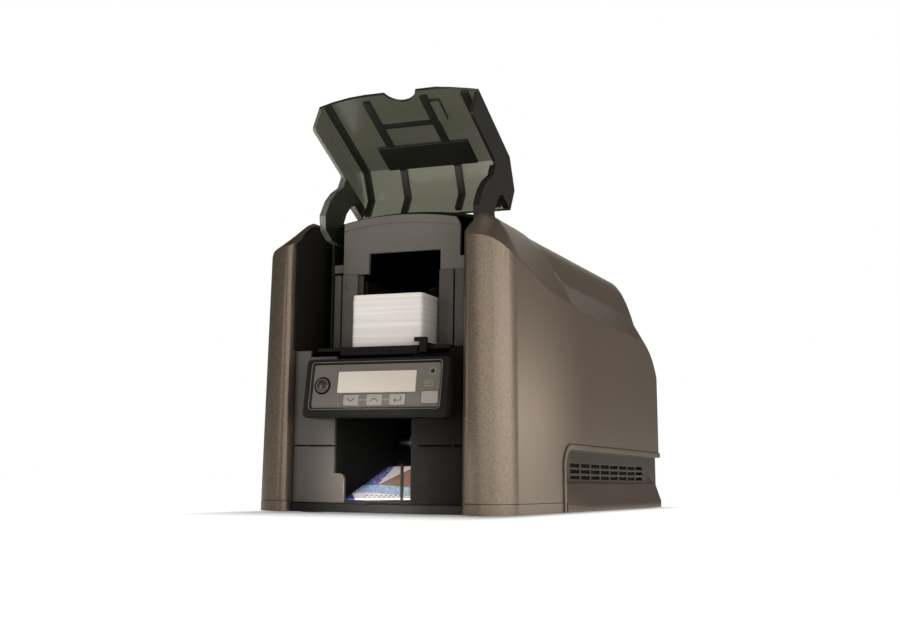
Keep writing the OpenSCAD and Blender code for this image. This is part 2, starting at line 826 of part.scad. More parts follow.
// Side outline of the closed door's flange with its hinge arm, bent round behind the pivot
module door_flange() {
  arm = [[-34, -29], [-23, -36], [-12, -40], [2, -41], [11, -35], [12, -23], [7.5, -9], [7.5, 7], [-7.5, 7],
    [-7.5, -9], [-10, -14.5], [-20, -14.5], [-30, -11]];
  offset(r = 3, $fn = 24) offset(delta = -3) offset(r = -2.5, $fn = 24) offset(delta = 2.5)
    polygon(concat([[0.1, door_low], [flange, door_low], [flange, pivot_h - 29]],
      [for (p = arm) [pivot_d, pivot_h] + p], [[door_end, pivot_h - 7], [door_end, door_top[1] - 0.1],
      [door_top[0], door_top[1] - 0.1], [0.1, door_bend[1]]]));
}

// Turns the closed door to its open rest
module opened() {
  translate([0, at(pivot_d), pivot_h]) rotate([-door_open, 0, 0]) translate([0, -at(pivot_d), -pivot_h])
    children();
}

module door_lower_edge() {
  // the middle of the free edge reaches lower, with a notch for a finger
  difference() {
    polygon([[-door_x, 400], [-door_x, door_low], [-50, door_low - 3.5], [-36, door_low - 6], [-23, door_low - 7],
      [33, door_low - 7], [44, door_low - 5], [54, door_low - 2.6], [door_x, door_low], [door_x, 400]]);
    translate([5, door_low - 11]) circle(13);
  }
}

rib_h = 3;
rib_w = 5;

module hopper_door() {
  color([0.30, 0.32, 0.25]) opened() difference() {
    union() {
      // skin: front panel, sloped panel and top panel
      intersection() {
        difference() {
          across([-door_x, door_x]) door_skin(0);
          across([-door_x - 1, door_x + 1]) translate([0, -eps]) polygon([[door_t, -200], [door_t, door_bend[1] - door_t * 0.33],
            [door_top[0] + door_t * 0.62, door_top[1] - door_t], [door_end + 5, door_top[1] - door_t], [door_end + 5, -200]]);
        }
        backward([-20, 100]) door_lower_edge();
      }
      // flanges with their arms
      both_sides() {
        across([door_x - door_t, door_x]) door_flange();
        intersection() {
          across([door_arm_x[0], door_x - door_t]) door_flange();
          block([0, 100], [flange + 2, 200], [100, 300]);
        }
      }
      // ribs inside all three panels
      for (x = [-54, -22.5, 22.5, 54]) intersection() {
        across([x - rib_w / 2, x + rib_w / 2]) difference() {
          door_skin(door_t);
          door_skin(door_t + rib_h);
        }
        block([-door_x, door_x], [0, door_end - 1.5], [door_low - 3, ridge_h + 20]);
      }
      block([-22.5, 22.5], [door_t, door_t + rib_h], [door_low + 22.5, door_low + 25]);
      // latch tab
      block([26, 33], [door_t, door_t + rib_h], [door_low + 2, door_low + 22]);
    }
    both_sides() bar_across(door_pin_r + running_gap, [door_arm_x[0] - 1, door_x + 1], pivot_d, pivot_h);
  }
}

// Dark bar on the inside of the door's front panel
module door_label_plate() {
  color(black) opened() block([-32, 41], [door_t + rib_h, door_t + rib_h + 2], [door_low + 43, door_low + 68]);
}

// ---- Front fascias and output bay -------------------------------------------------------

fascia_x = half_bay - 0.7;
fascia_d = 4;
bay_depth = 108;
split_gap = 0.9;

bay_wall_top = 96;
left_wall = [bay_left - 2.5, bay_left];
right_wall = [bay_right + 3.2, bay_right + 5.7];

module fascia(x, z) {
  block(x, [fascia_d, fascia_d + fascia_t], z);
}

module upper_left_fascia() {
  color(charcoal) {
    fascia([-fascia_x, bay_left], [fascia_split_h + split_gap, fascia_top_h - 4.5]);
    fascia([-fascia_x, 1 - plate_x], [fascia_top_h - 4.5, fascia_top_h]);
  }
}

module upper_right_fascia() {
  color(black) {
    fascia([bay_right, fascia_x], [fascia_split_h + split_gap, fascia_top_h - 4.5]);
    fascia([plate_x - 1, fascia_x], [fascia_top_h - 4.5, fascia_top_h]);
  }
}

module lower_left_fascia() {
  tab_w = 8.4;
  tab_h = 27.5;
  tab_r = 5;
  color(charcoal) {
    fascia([-fascia_x, bay_left], [front_low, fascia_split_h]);
    backward([fascia_d, fascia_d + fascia_t]) {
      translate([bay_left, front_low]) square([tab_w, tab_h - tab_r - front_low]);
      translate([bay_left, tab_h - tab_r]) square([tab_w - tab_r, tab_r]);
      translate([bay_left + tab_w - tab_r, tab_h - tab_r]) circle(tab_r);
    }
  }
}

module lower_right_fascia() {
  color(black) fascia([bay_right, fascia_x], [front_low, fascia_split_h]);
}

tray_d = 9;
tray_h = 9;

// Side walls and sloped floor of the output bay
module output_tray() {
  tray_end = bay_depth - 12;
  rise = (tray_end - tray_d) * tan(tray_slope);
  color(black) {
    across([left_wall[1], right_wall[0]])
      polygon([[tray_d - 1.5, front_low], [tray_d - 1.5, tray_h], [tray_d, tray_h], [tray_end, tray_h + rise],
        [tray_end, tray_h + rise - 2.5], [tray_d + 6, front_low]]);
    for (x = [left_wall, right_wall]) block(x, [fascia_d + fascia_t + seat, bay_depth], [front_low, bay_wall_top]);
  }
}

// Finger that holds the printed card back
module tray_finger() {
  color(black) {
    block([18.4, 20.6], [tray_d - 4.4, tray_d - 1.7], [front_low, tray_h + 25]);
    block([15, 20.6], [tray_d - 4.4, tray_d - 1.7], [front_low, tray_h - 0.4]);
  }
}

// The card just printed, lying on the tray
module printed_card() {
  card_t = 0.76;
  yaw = 4;
  color([0.55, 0.62, 0.75])
    translate([0.5, at(tray_d + 0.2), tray_h + 0.12]) rotate([tray_slope, 0, 0]) rotate([0, 0, yaw])
      translate([0, 2, 0]) linear_extrude(card_t) card_outline();
}

// ---- Display panel ---------------------------------------------------------------------------

display_d = -display_out;
face_in = 1.5;
plate_face = 2;
face_w = display_face;

// Local frame of the display face: x across, y up the slope, z out of the face
module on_face() {
  translate([0, at(display_d), display_low]) rotate([90 - display_tilt, 0, 0]) children();
}

plate_x0 = -43.3;
plate_x1 = 52;
plate_y0 = 5;
plate_y1 = 35.2;
glass_a = [-24.6, 15.2];
glass_b = [34.3, 30.4];
keys_y = 10.2;
key_w = 12;
key_h = 8;
key_xs = [-13, 4.6, 21.6];
user_x = 45.2;
user_y = 11.4;
user_w = 12.5;
user_h = 9;
power_x = -36;
power_y = 20.5;
power_r = 4.6;
key_gap = 0.25;
ledge = 0.4;
board_back = -9.5;
board_in = ledge + 0.2;
board_face = board_back + 1.4;
key_back = -face_in - plate_face - 1.2;
plunger = -5.5;
lamp = [46, 29.3];
lamp_r = 1.2;

module display_housing() {
  r = 3;
  color(charcoal) difference() {
    intersection() {
      across([display_left, display_right]) polygon([[display_d + 2, display_low - 2.2], [display_d, display_low],
        [display_d + face_w * sin(display_tilt), display_low + face_w * cos(display_tilt)],
        [fascia_d - 0.05, display_low + face_w * cos(display_tilt)], [fascia_d - 0.05, display_low - 2.2]]);
      backward([display_d - 5, fascia_d]) soft_rect([display_left, display_low - 2.2],
        [display_right, display_low + face_w * cos(display_tilt)], r);
    }
    // window for the plate with its chamfer, and the cavity behind it
    on_face() {
      hull() {
        translate([0, 0, -face_in]) linear_extrude(eps) soft_rect([plate_x0, plate_y0], [plate_x1, plate_y1], 1.5);
        translate([0, 0, 0.3]) linear_extrude(eps) soft_rect([plate_x0 - face_in, plate_y0 - face_in],
          [plate_x1 + face_in, plate_y1 + face_in], 1.5 + face_in);
      }
      translate([0, 0, -face_in - plate_face]) linear_extrude(20)
        soft_rect([plate_x0, plate_y0], [plate_x1, plate_y1], 1.5);
      translate([plate_x0 + ledge, plate_y0 + ledge, board_back - 0.1])
        cube([plate_x1 - plate_x0 - 2 * ledge, plate_y1 - plate_y0 - 2 * ledge, 9]);
    }
  }
}

// Grey face plate with its window and key holes
module display_plate() {
  c = 0.1;
  color(grey) on_face() translate([0, 0, -face_in - plate_face + 0.02]) difference() {
    linear_extrude(plate_face - 0.02) soft_rect([plate_x0 + c, plate_y0 + c], [plate_x1 - c, plate_y1 - c], 1.4);
    translate([glass_a[0], glass_a[1], -1]) cube([glass_b[0] - glass_a[0], glass_b[1] - glass_a[1], 5]);
    for (x = key_xs) translate([x - key_w / 2, keys_y - key_h / 2, -1]) cube([key_w, key_h, 5]);
    translate([user_x - user_w / 2, user_y - user_h / 2, -1]) cube([user_w, user_h, 5]);
    translate([power_x, power_y, -1]) cylinder(h = 5, r = power_r + 0.9);
    translate([lamp[0], lamp[1], -1]) cylinder(h = 5, r = lamp_r + 0.1);
  }
}

module display_glass() {
  c = 0.1;
  color([0.80, 0.80, 0.74]) on_face() {
    translate([glass_a[0] + c, glass_a[1] + c, -face_in - plate_face - 1.2])
      cube([glass_b[0] - glass_a[0] - 2 * c, glass_b[1] - glass_a[1] - 2 * c, plate_face + 1.0]);
  }
}

// Circuit board behind the plate with the display's can and the key switches
module display_board() {
  switch_h = 1.6;
  module switch_at(x, y) {
    translate([x - 2, y - 2, board_face]) cube([4, 4, switch_h]);
  }
  color([0.10, 0.25, 0.14]) on_face() {
    translate([plate_x0 + board_in, plate_y0 + board_in, board_back])
      cube([plate_x1 - plate_x0 - 2 * board_in, plate_y1 - plate_y0 - 2 * board_in, board_face - board_back]);
    translate([glass_a[0] + 1, glass_a[1] + 1, board_face])
      cube([glass_b[0] - glass_a[0] - 2, glass_b[1] - glass_a[1] - 4.5, 3.3]);
    for (x = key_xs) switch_at(x, keys_y);
    switch_at(user_x, user_y);
    switch_at(power_x, power_y);
    translate([lamp[0], lamp[1], board_face]) cylinder(h = 7, r = lamp_r);
  }
}

// Key cap with its flange behind the plate and its plunger
module key(x, y, w, h) {
  cap_out = 0.7;
  tab = 0.6;
  on_face() {
    translate([x - w / 2 + key_gap, y - h / 2 + key_gap, key_back + 0.8])
      cube([w - 2 * key_gap, h - 2 * key_gap, -face_in + cap_out - key_back - 0.8]);
    translate([x - w / 2 + key_gap, y - h / 2 - tab, key_back]) cube([w - 2 * key_gap, h + 2 * tab, 1]);
    translate([x - 1.5, y - 1.5, plunger]) cube([3, 3, 1]);
  }
}

module button_down() {
  color(grey * 1.3) key(key_xs[0], keys_y, key_w, key_h);
}

module button_up() {
  color(grey * 1.3) key(key_xs[1], keys_y, key_w, key_h);
}

module button_enter() {
  color(grey * 1.3) key(key_xs[2], keys_y, key_w, key_h);
}

module button_user() {
  color(grey * 1.3) key(user_x, user_y, user_w, user_h);
}

// Round power button with its ring
module power_button() {
  color(steel) on_face() translate([power_x, power_y, 0]) {
    translate([0, 0, key_back + 0.8]) cylinder(h = plate_face + 1, r = power_r + 0.6);
    translate([0, 0, key_back]) cylinder(h = 1, r = power_r + 2);
    translate([0, 0, plunger]) cylinder(h = 1, r = 2);
  }
}

// ---- Rollers, ribbon and head -----------------------------------------------------------------

roller_half = 29;

// A shaft through both plates with rubber rollers on it
module roller_shaft(d, z, r, sleeves, ends = [0, 0]) {
  color(steel) bar_across(shaft_r, [-plate_x - plate_t - 0.6 - ends[0], plate_x + plate_t + 0.6 + ends[1]], d, z);
  color(rubber) for (s = sleeves) bar_across(r, s, d, z);
}

belt_x = plate_x + plate_t + 2.4;
belt_w = 4;

// Flanged belt pulley outside the right plate
module pulley(d, z, r) {
  color(steel) {
    bar_across(r, [belt_x - 0.6, belt_x + belt_w + 0.6], d, z);
    bar_across(r + 1.6, [belt_x - 1.4, belt_x - 0.4], d, z);
    bar_across(r + 1.6, [belt_x + belt_w + 0.4, belt_x + belt_w + 1.4], d, z);
  }
}

module pick_roller() {
  roller_shaft(pick_d, pick_h, 9, [[-8, 8]]);
}

module feed_roller() {
  roller_shaft(feed_d, path_h, roller_r, [[-24, -12], [12, 24]], [0, belt_w + 4]);
  pulley(feed_d, path_h, pulley_r);
}

module cleaning_roller() {
  roller_shaft(clean_d, path_h, roller_r, [[-roller_half, roller_half]]);
}

module platen_roller() {
  roller_shaft(platen_d, path_h, platen_r, [[-roller_half, roller_half]], [0, belt_w + 4]);
  pulley(platen_d, path_h, pulley_r);
}

module exit_roller() {
  roller_shaft(exit_d, exit_h, roller_r, [[-24, -12], [12, 24]]);
}

// Print head with its heat sink, just above the ribbon on the platen
head_low = path_h + platen_r + 1.2;
ribbon_t = 0.3;

module printhead() {
  color(black) {
    across([-31, 31]) polygon([[platen_d - 1.5, head_low], [platen_d + 1.5, head_low],
      [platen_d + 8, head_low + 8], [platen_d + 8, head_low + 14], [platen_d - 8, head_low + 14],
      [platen_d - 8, head_low + 8]]);
  }
  color(steel) for (i = [-5:5]) block([i * 5 - 1, i * 5 + 1], [platen_d - 8, platen_d + 8], [head_low + 14, head_low + 24]);
}

// Arms that carry the head and pivot behind it
module printhead_bracket() {
  arm = [33, 35];
  color(steel) {
    both_sides() across(arm) difference() {
      polygon([[platen_d - 6, head_low + 9], [platen_d + 10, head_low + 9], [head_pivot[0], head_pivot[1] - 6],
        [head_pivot[0] + 6, head_pivot[1]], [head_pivot[0], head_pivot[1] + 6],
        [platen_d + 12, head_low + 24], [platen_d - 6, head_low + 24]]);
      translate([head_pivot[0], head_pivot[1]]) circle(head_pin_r + running_gap);
    }
    block([31, 33], [platen_d - 6, platen_d + 6], [head_low + 9, head_low + 13]);
    block([-33, -31], [platen_d - 6, platen_d + 6], [head_low + 9, head_low + 13]);
  }
}

// Spool with wound ribbon
module spool(d, z, r) {
  color(grey) {
    bar_across(shaft_r, [-plate_x - plate_t - 0.6, plate_x + plate_t + 0.6], d, z);
    bar_across(7, [-44, 44], d, z);
    for (x = [-36, 34]) bar_across(r + 2, [x, x + 2], d, z);
  }
  color([0.12, 0.10, 0.14]) bar_across(r, [-32, 32], d, z);
}

module ribbon_supply() {
  spool(supply_d, spool_h, ribbon_r);
}

module ribbon_takeup() {
  spool(takeup_d, spool_h, ribbon_r - 4);
}

// Ribbon stretched from one spool round the head to the other
module ribbon_film() {
  y = head_low - ribbon_t - 0.25;
  color([0.12, 0.10, 0.14]) across([-30, 30]) polygon([
    [supply_d + ribbon_r + 0.3, spool_h], [supply_d + ribbon_r + 0.6, spool_h],
    [platen_d - 9, head_low + 9], [platen_d - 2, y + ribbon_t], [platen_d + 2, y + ribbon_t],
    [platen_d + 9, head_low + 7], [takeup_d - ribbon_r + 3.4, spool_h], [takeup_d - ribbon_r + 3.7, spool_h],
    [platen_d + 9.4, head_low + 6.8], [platen_d + 2.1, y], [platen_d - 2.1, y], [platen_d - 9.4, head_low + 8.8]]);
}

// ---- Drive, electronics and rear fittings -------------------------------------------------------

motor_shaft_r = 2.5;
motor_bore = 16;

module drive_motor() {
  color(steel) {
    difference() {
      block([plate_x - 34, plate_x], [motor_d - 18, motor_d + 18], [motor_h - 18, motor_h + 18]);
      bar_across(motor_shaft_r + running_gap, [plate_x - motor_bore, plate_x + 1], motor_d, motor_h);
    }
    block([plate_x - 40, plate_x - 34], [motor_d - 8, motor_d + 8], [motor_h - 14, motor_h - 4]);
  }
}

module motor_pulley() {
  bar_across(motor_shaft_r, [plate_x - motor_bore + seat, belt_x + belt_w + 2], motor_d, motor_h);
  pulley(motor_d, motor_h, pulley_r);
}

// Belt round the motor, platen and feed pulleys
module drive_belt() {
  gap = 0.15;
  t = 1;
  module loop(r) {
    hull() {
      translate([feed_d, path_h]) circle(r, $fn = 32);
      translate([platen_d, path_h]) circle(r, $fn = 32);
      translate([motor_d, motor_h]) circle(r, $fn = 32);
    }
  }
  color(rubber) across([belt_x, belt_x + belt_w]) difference() {
    loop(pulley_r + gap + t);
    loop(pulley_r + gap);
  }
}

board_low = pan_floor + 4;
board_top = board_low + 1.6;

// Circuit board with its spacers, processor, power supply and capacitors
module main_board() {
  w = plate_x - 6;
  rear = body_len - wall_t - 1;
  front = rear - 140;
  color([0.08, 0.24, 0.13]) {
    block([-w, w], [front, rear], [board_low, board_top]);
    for (x = [-w + 4, w - 8], d = [front + 6, rear - 16]) block([x, x + 4], [d, d + 4], [pan_floor, board_low]);
    block([-40, -8], [front + 24, front + 56], [board_top, board_top + 2.4]);
    block([10, 40], [front + 14, rear - 46], [board_top, board_top + 24]);
    for (i = [0:3]) translate([-36 + i * 11, at(rear - 64), board_top]) cylinder(h = 9, r = 4);
  }
}

// Power inlet, network and host sockets in the rear openings
module rear_ports() {
  g = 0.3;
  module socket_box(x, z, w, h, depth, wall) {
    difference() {
      block([x - w, x + w], [body_len - depth, body_len - 0.3], [z - h, z + h]);
      block([x - w + wall, x + w - wall], [body_len - depth + 3, body_len + 1], [z - h + wall, z + h - wall]);
    }
  }
  color(black) socket_box(inlet_x, inlet_h, 14 - g, 10.5 - g, 22, 2);
  color(black) for (dx = [-7, 0, 7])
    block([inlet_x + dx - 1, inlet_x + dx + 1], [body_len - 19, body_len - 5], [inlet_h - 2, inlet_h + 3]);
  color(steel) {
    socket_box(usb_x, port_h, 6.3 - g, 5.8 - g, 16, 0.8);
    socket_box(lan_x, port_h, 8.2 - g, 7 - g, 18, 0.8);
  }
  color(steel) block([usb_x - 3, usb_x + 3], [body_len - 13, body_len - 4], [port_h - 1.5, port_h + 1.5]);
}

fan_box = 20;
fan_t = 10;

module fan_housing() {
  d = [body_len - wall_t - fan_t, body_len - wall_t];
  hub_r = 7;
  color(black) difference() {
    union() {
      difference() {
        block([fan_x - fan_box, fan_x + fan_box], d, [fan_h - fan_box, fan_h + fan_box]);
        front_hole(fan_r + 0.6, [d[0] - 1, d[1] + 1]);
      }
      for (a = [0:90:270]) translate([fan_x, 0, fan_h]) rotate([0, a, 0])
        translate([0, at(d[0]), -1.2]) cube([fan_r + 1.5, 1.6, 2.4]);
      front_hole(hub_r, [d[0], d[0] + 1.6]);
    }
    front_hole(1.5 + running_gap, [d[0] - 1, d[1]]);
  }
}

// A round bar from front to back at the fan's centre
module front_hole(r, d) {
  translate([fan_x, at(d[1]), fan_h]) rotate([90, 0, 0]) cylinder(h = d[1] - d[0], r = r);
}

module fan_rotor() {
  d = [body_len - wall_t - fan_t + 2.1, body_len - wall_t - 0.6];
  color(charcoal) {
    front_hole(7, d);
    front_hole(1.5, [d[0] - 2, d[0] + 1]);
    for (a = [0:360 / 7:359]) translate([fan_x, 0, fan_h]) rotate([0, a, 0]) translate([6, at(d[0] + 2.2), 0])
      rotate([35, 0, 0]) cube([fan_r - 6.6, 5, 1.2]);
  }
}

// Screws that hold the side covers at the rear
module cover_screws() {
  head_h = 1.2;
  cross = 2.8;
  color(steel) both_sides() for (z = screw_hs) translate([screw_x, at(body_len - screw_in) + head_h, z])
    rotate([90, 0, 0]) difference() {
      cylinder(h = head_h, r = screw_r);
      for (a = [0, 90]) rotate([0, 0, a]) translate([-cross / 2, -0.35, -1]) cube([cross, 0.7, 1.6]);
    }
}

base_pan();
rubber_feet();
left_skirt();
right_skirt();
left_cover();
right_cover();
left_vent_panel();
right_vent_panel();
left_liner();
right_liner();
hopper_hood();
top_cover();
rear_cover();
cover_screws();
chassis_left();
chassis_right();
cross_bars();
hinge_pins();
door_pins();
hopper_frame();
hopper_columns();
hopper_floor();
hopper_guides();
card_stack();
card_stop();
hopper_door();
door_label_plate();
upper_left_fascia();
upper_right_fascia();
lower_left_fascia();
lower_right_fascia();
output_tray();
tray_finger();
printed_card();
display_housing();
display_plate();
display_glass();
display_board();
power_button();
button_down();
button_up();
button_enter();
button_user();
pick_roller();
feed_roller();
cleaning_roller();
platen_roller();
exit_roller();
printhead();
printhead_bracket();
ribbon_supply();
ribbon_takeup();
ribbon_film();
drive_motor();
motor_pulley();
drive_belt();
main_board();
rear_ports();
fan_housing();
fan_rotor();
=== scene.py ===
"""Looks of a desktop card printer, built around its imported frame."""

import json
import math

import bpy
from mathutils import Matrix, Vector

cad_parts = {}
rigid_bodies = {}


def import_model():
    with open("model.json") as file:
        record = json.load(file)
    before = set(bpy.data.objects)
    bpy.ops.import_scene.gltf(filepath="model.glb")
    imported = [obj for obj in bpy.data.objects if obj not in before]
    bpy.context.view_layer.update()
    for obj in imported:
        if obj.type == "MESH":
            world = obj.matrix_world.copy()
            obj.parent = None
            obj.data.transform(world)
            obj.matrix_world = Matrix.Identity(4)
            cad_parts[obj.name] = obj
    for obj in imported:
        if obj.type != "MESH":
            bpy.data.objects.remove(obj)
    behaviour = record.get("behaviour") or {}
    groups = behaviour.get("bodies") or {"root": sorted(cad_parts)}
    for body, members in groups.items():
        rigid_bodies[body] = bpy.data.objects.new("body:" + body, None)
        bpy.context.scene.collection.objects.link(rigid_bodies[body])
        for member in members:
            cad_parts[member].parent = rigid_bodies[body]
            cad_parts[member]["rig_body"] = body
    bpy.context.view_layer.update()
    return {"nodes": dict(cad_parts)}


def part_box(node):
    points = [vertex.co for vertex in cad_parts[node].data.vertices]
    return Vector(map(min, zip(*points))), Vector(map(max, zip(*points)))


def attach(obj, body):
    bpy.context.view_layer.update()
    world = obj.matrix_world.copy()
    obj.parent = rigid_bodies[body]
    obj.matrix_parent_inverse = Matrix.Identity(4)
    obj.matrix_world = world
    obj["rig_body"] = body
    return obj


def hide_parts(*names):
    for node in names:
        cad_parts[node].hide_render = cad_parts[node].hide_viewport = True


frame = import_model()
NODES = frame["nodes"]

bl_info = {
    "name": "Card printer",
    "version": (1, 0),
    "blender": (4, 5, 0),
    "location": "3D View > Sidebar > Card printer",
    "description": "Dresses the packed card printer with its finishes and fine detail",
    "category": "Object",
}

MM = 0.001
FRONT = 208.5  # millimetres from the origin to the covers' front edges
TILT = math.radians(8.9)  # lean of the display face
CARD_WIDE, CARD_LONG, CARD_CORNER = 0.054, 0.0856, 0.00318  # one card, in metres
PACK = 13  # cards loaded at a time
SHARP = 35  # degrees between faces from which an edge is rounded
FLAT = 0.2  # degrees between faces up to which they are one
MERGE = 2e-6  # metres within which a CAD node's points are one


# ---- Helpers ---------------------------------------------------------------


def deselect():
    """Lets go of everything, the loaded CAD nodes among them."""
    if bpy.context.object is not None and bpy.context.object.mode != "OBJECT":
        bpy.ops.object.mode_set(mode="OBJECT")
    bpy.ops.object.select_all(action="DESELECT")


def take(obj):
    """Makes a piece the only one selected."""
    deselect()
    obj.select_set(True)
    bpy.context.view_layer.objects.active = obj


def edit(obj, select=True):
    """Opens a piece's mesh, with all or nothing of it selected."""
    take(obj)
    bpy.ops.object.mode_set(mode="EDIT")
    bpy.ops.mesh.select_all(action="SELECT" if select else "DESELECT")


def done():
    """Closes the mesh that is open."""
    bpy.ops.object.mode_set(mode="OBJECT")


def settle(obj):
    """Puts a piece's place into its mesh."""
    take(obj)
    bpy.ops.object.transform_apply(location=True, rotation=True, scale=True)


def soften(obj, width, segments=2, smooth=32):
    """Rounds a piece's edges, by a width in millimetres, and smooths it."""
    take(obj)
    if width > 0:
        m = obj.modifiers.new("edge", "BEVEL")
        m.width = width * MM
        m.segments = segments
        m.limit_method = "ANGLE"
        m.angle_limit = math.radians(SHARP)
        m.use_clamp_overlap = True
        m.harden_normals = False
        bpy.ops.object.modifier_apply(modifier="edge")
    bpy.ops.object.shade_smooth_by_angle(angle=math.radians(smooth))


def level(obj):
    """Keeps flat faces flat beside rounded edges."""
    take(obj)
    m = obj.modifiers.new("flat", "WEIGHTED_NORMAL")
    m.keep_sharp = True
    bpy.ops.object.modifier_apply(modifier="flat")


def copy_of(node, name):
    """A merged copy of a CAD node's mesh as a piece of its own."""
    source = NODES[node]
    obj = bpy.data.objects.new(name, source.data.copy())
    obj.data.name = name
    bpy.context.scene.collection.objects.link(obj)
    obj.data.materials.clear()
    edit(obj)
    bpy.ops.mesh.remove_doubles(threshold=MERGE)
    bpy.ops.mesh.dissolve_limited(angle_limit=math.radians(FLAT))
    done()
    return obj


def body_of(node):
    return NODES[node]["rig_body"]


def stands_for(obj, node):
    """Puts a piece in the place of a CAD node."""
    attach(obj, body_of(node))
    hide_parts(node)
    return obj


def dress(node, material, edge=0.4, segments=2, smooth=32):
    """Replaces a CAD node by a merged copy with rounded edges and a finish."""
    obj = copy_of(node, node + "_look")
    soften(obj, edge, segments, smooth=smooth)
    level(obj)
    obj.data.materials.append(material)
    return stands_for(obj, node)


def adds_to(obj, body, material):
    """Gives a piece that no CAD node stands for its finish, body and slot."""
    obj.data.materials.clear()
    obj.data.materials.append(material)
    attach(obj, body)


def named(obj, name):
    obj.name = obj.data.name = name
    return obj


def joined(objs, name):
    """One piece made of several."""
    deselect()
    for o in objs:
        o.select_set(True)
    bpy.context.view_layer.objects.active = objs[0]
    if len(objs) > 1:
        bpy.ops.object.join()
    return named(bpy.context.view_layer.objects.active, name)


def y_at(d):
    """Frame y in millimetres at a depth behind the covers' front edges."""
    return d - FRONT


def depth_of(point):
    """Depth in millimetres of a point behind the covers' front edges."""
    return point.y / MM + FRONT


def grid(across, along):
    """A flat sheet of one by one, cut into a grid."""
    bpy.ops.mesh.primitive_grid_add(
        x_subdivisions=across, y_subdivisions=along, size=1, location=(0, 0, 0))
    return bpy.context.object


def block(size, place=(0, 0, 0), turn=0.0):
    """A cuboid with its size and place put into its mesh."""
    bpy.ops.mesh.primitive_cube_add(size=1, location=(0, 0, 0))
    obj = bpy.context.object
    obj.scale = size
    obj.rotation_euler = (0, 0, turn)
    obj.location = place
    settle(obj)
    return obj


def thicken(obj, thickness, offset=-1.0):
    """Gives a sheet its wall, in millimetres."""
    take(obj)
    m = obj.modifiers.new("thick", "SOLIDIFY")
    m.thickness = thickness * MM
    m.offset = offset
    bpy.ops.object.modifier_apply(modifier="thick")


def linear(rgb):
    """Linear colour of an sRGB one."""
    return tuple(c / 12.92 if c <= 0.04045 else ((c + 0.055) / 1.055) ** 2.4 for c in rgb)


def hexa(code):
    """Linear colour of six hexadecimal digits."""
    return linear(tuple(int(code[i : i + 2], 16) / 255 for i in (0, 2, 4)))


# ---- Materials -------------------------------------------------------------


class Finish:
    """Builds one node material step by step."""

    def __init__(self, name):
        self.m = bpy.data.materials.new(name)
        self.m.use_nodes = True
        self.t = self.m.node_tree
        self.t.nodes.clear()
        self.out = self.t.nodes.new("ShaderNodeOutputMaterial")
        self.bsdf = self.t.nodes.new("ShaderNodeBsdfPrincipled")
        self.link(self.bsdf.outputs[0], self.out.inputs["Surface"])
        self.coord = self.t.nodes.new("ShaderNodeTexCoord")

    def link(self, a, b):
        self.t.links.new(a, b)

    def set(self, **values):
        """Fixed values of the surface."""
        for k, v in values.items():
            self.bsdf.inputs[k.replace("_", " ")].default_value = v

    def noise(self, scale, detail=2.0, rough=0.5, stretch=None):
        n = self.t.nodes.new("ShaderNodeTexNoise")
        n.inputs["Scale"].default_value = scale
        n.inputs["Detail"].default_value = detail
        n.inputs["Roughness"].default_value = rough
        source = self.coord.outputs["Object"]
        if stretch:
            mp = self.t.nodes.new("ShaderNodeMapping")
            mp.inputs["Scale"].default_value = stretch
            self.link(source, mp.inputs["Vector"])
            source = mp.outputs[0]
        self.link(source, n.inputs["Vector"])
        return n.outputs["Fac"]

    def remap(self, fac, low, high, a=0.3, b=0.7):
        """Takes a value between a and b to one between low and high."""
        r = self.t.nodes.new("ShaderNodeMapRange")
        r.inputs["From Min"].default_value = a
        r.inputs["From Max"].default_value = b
        r.inputs["To Min"].default_value = low
        r.inputs["To Max"].default_value = high
        self.link(fac, r.inputs["Value"])
        return r.outputs["Result"]

    def mix(self, fac, a, b):
        n = self.t.nodes.new("ShaderNodeMix")
        n.data_type = "RGBA"
        for sock, v in ((n.inputs[0], fac), (n.inputs[6], a), (n.inputs[7], b)):
            if hasattr(v, "links"):
                self.link(v, sock)
            elif isinstance(v, (int, float)):
                sock.default_value = v
            else:
                sock.default_value = (*v, 1)
        return n.outputs[2]

    def bump(self, height, distance, strength=0.5):
        b = self.t.nodes.new("ShaderNodeBump")
        b.inputs["Distance"].default_value = distance
        b.inputs["Strength"].default_value = strength
        self.link(height, b.inputs["Height"])
        return b.outputs[0]

    def feed(self, **sockets):
        """Patterns that drive the surface."""
        for k, v in sockets.items():
            self.link(v, self.bsdf.inputs[k.replace("_", " ")])


def plastic(name, colour, rough, grain=1400, depth=0.05, spread=0.18, spec=0.5):
    """Moulded plastic: spark-eroded grain, small patches of tone and uneven gloss."""
    f = Finish(name)
    f.set(Specular_IOR_Level=spec)
    fine = f.noise(grain, 3, 0.6)
    patch = f.noise(14, 3, 0.55)
    shade = tuple(c * (1 - spread) for c in colour)
    f.feed(
        Base_Color=f.mix(f.remap(patch, 0, 1), shade, colour),
        Roughness=f.remap(fine, rough - 0.06, rough + 0.08),
        Normal=f.bump(fine, depth * MM, 0.5),
    )
    return f.m


def cover_paint(name, colour, spec=0.35):
    """Metallic paint: fine flakes in a satin clear layer."""
    f = Finish(name)
    f.set(Metallic=0.6, Specular_IOR_Level=spec, Specular_Tint=(1.0, 0.95, 0.89, 1))
    flake = f.noise(620, 4, 0.75)
    cloud = f.noise(7, 3, 0.5)
    dark = tuple(c * 0.70 for c in colour)
    light = tuple(min(1, c * 1.30) for c in colour)
    tone = f.mix(f.remap(flake, 0, 1, 0.33, 0.67), dark, light)
    f.feed(
        Base_Color=f.mix(f.remap(cloud, 0.0, 0.25), tone, dark),
        Roughness=f.remap(flake, 0.30, 0.42),
        Normal=f.bump(flake, 0.06 * MM, 0.5),
    )
    return f.m


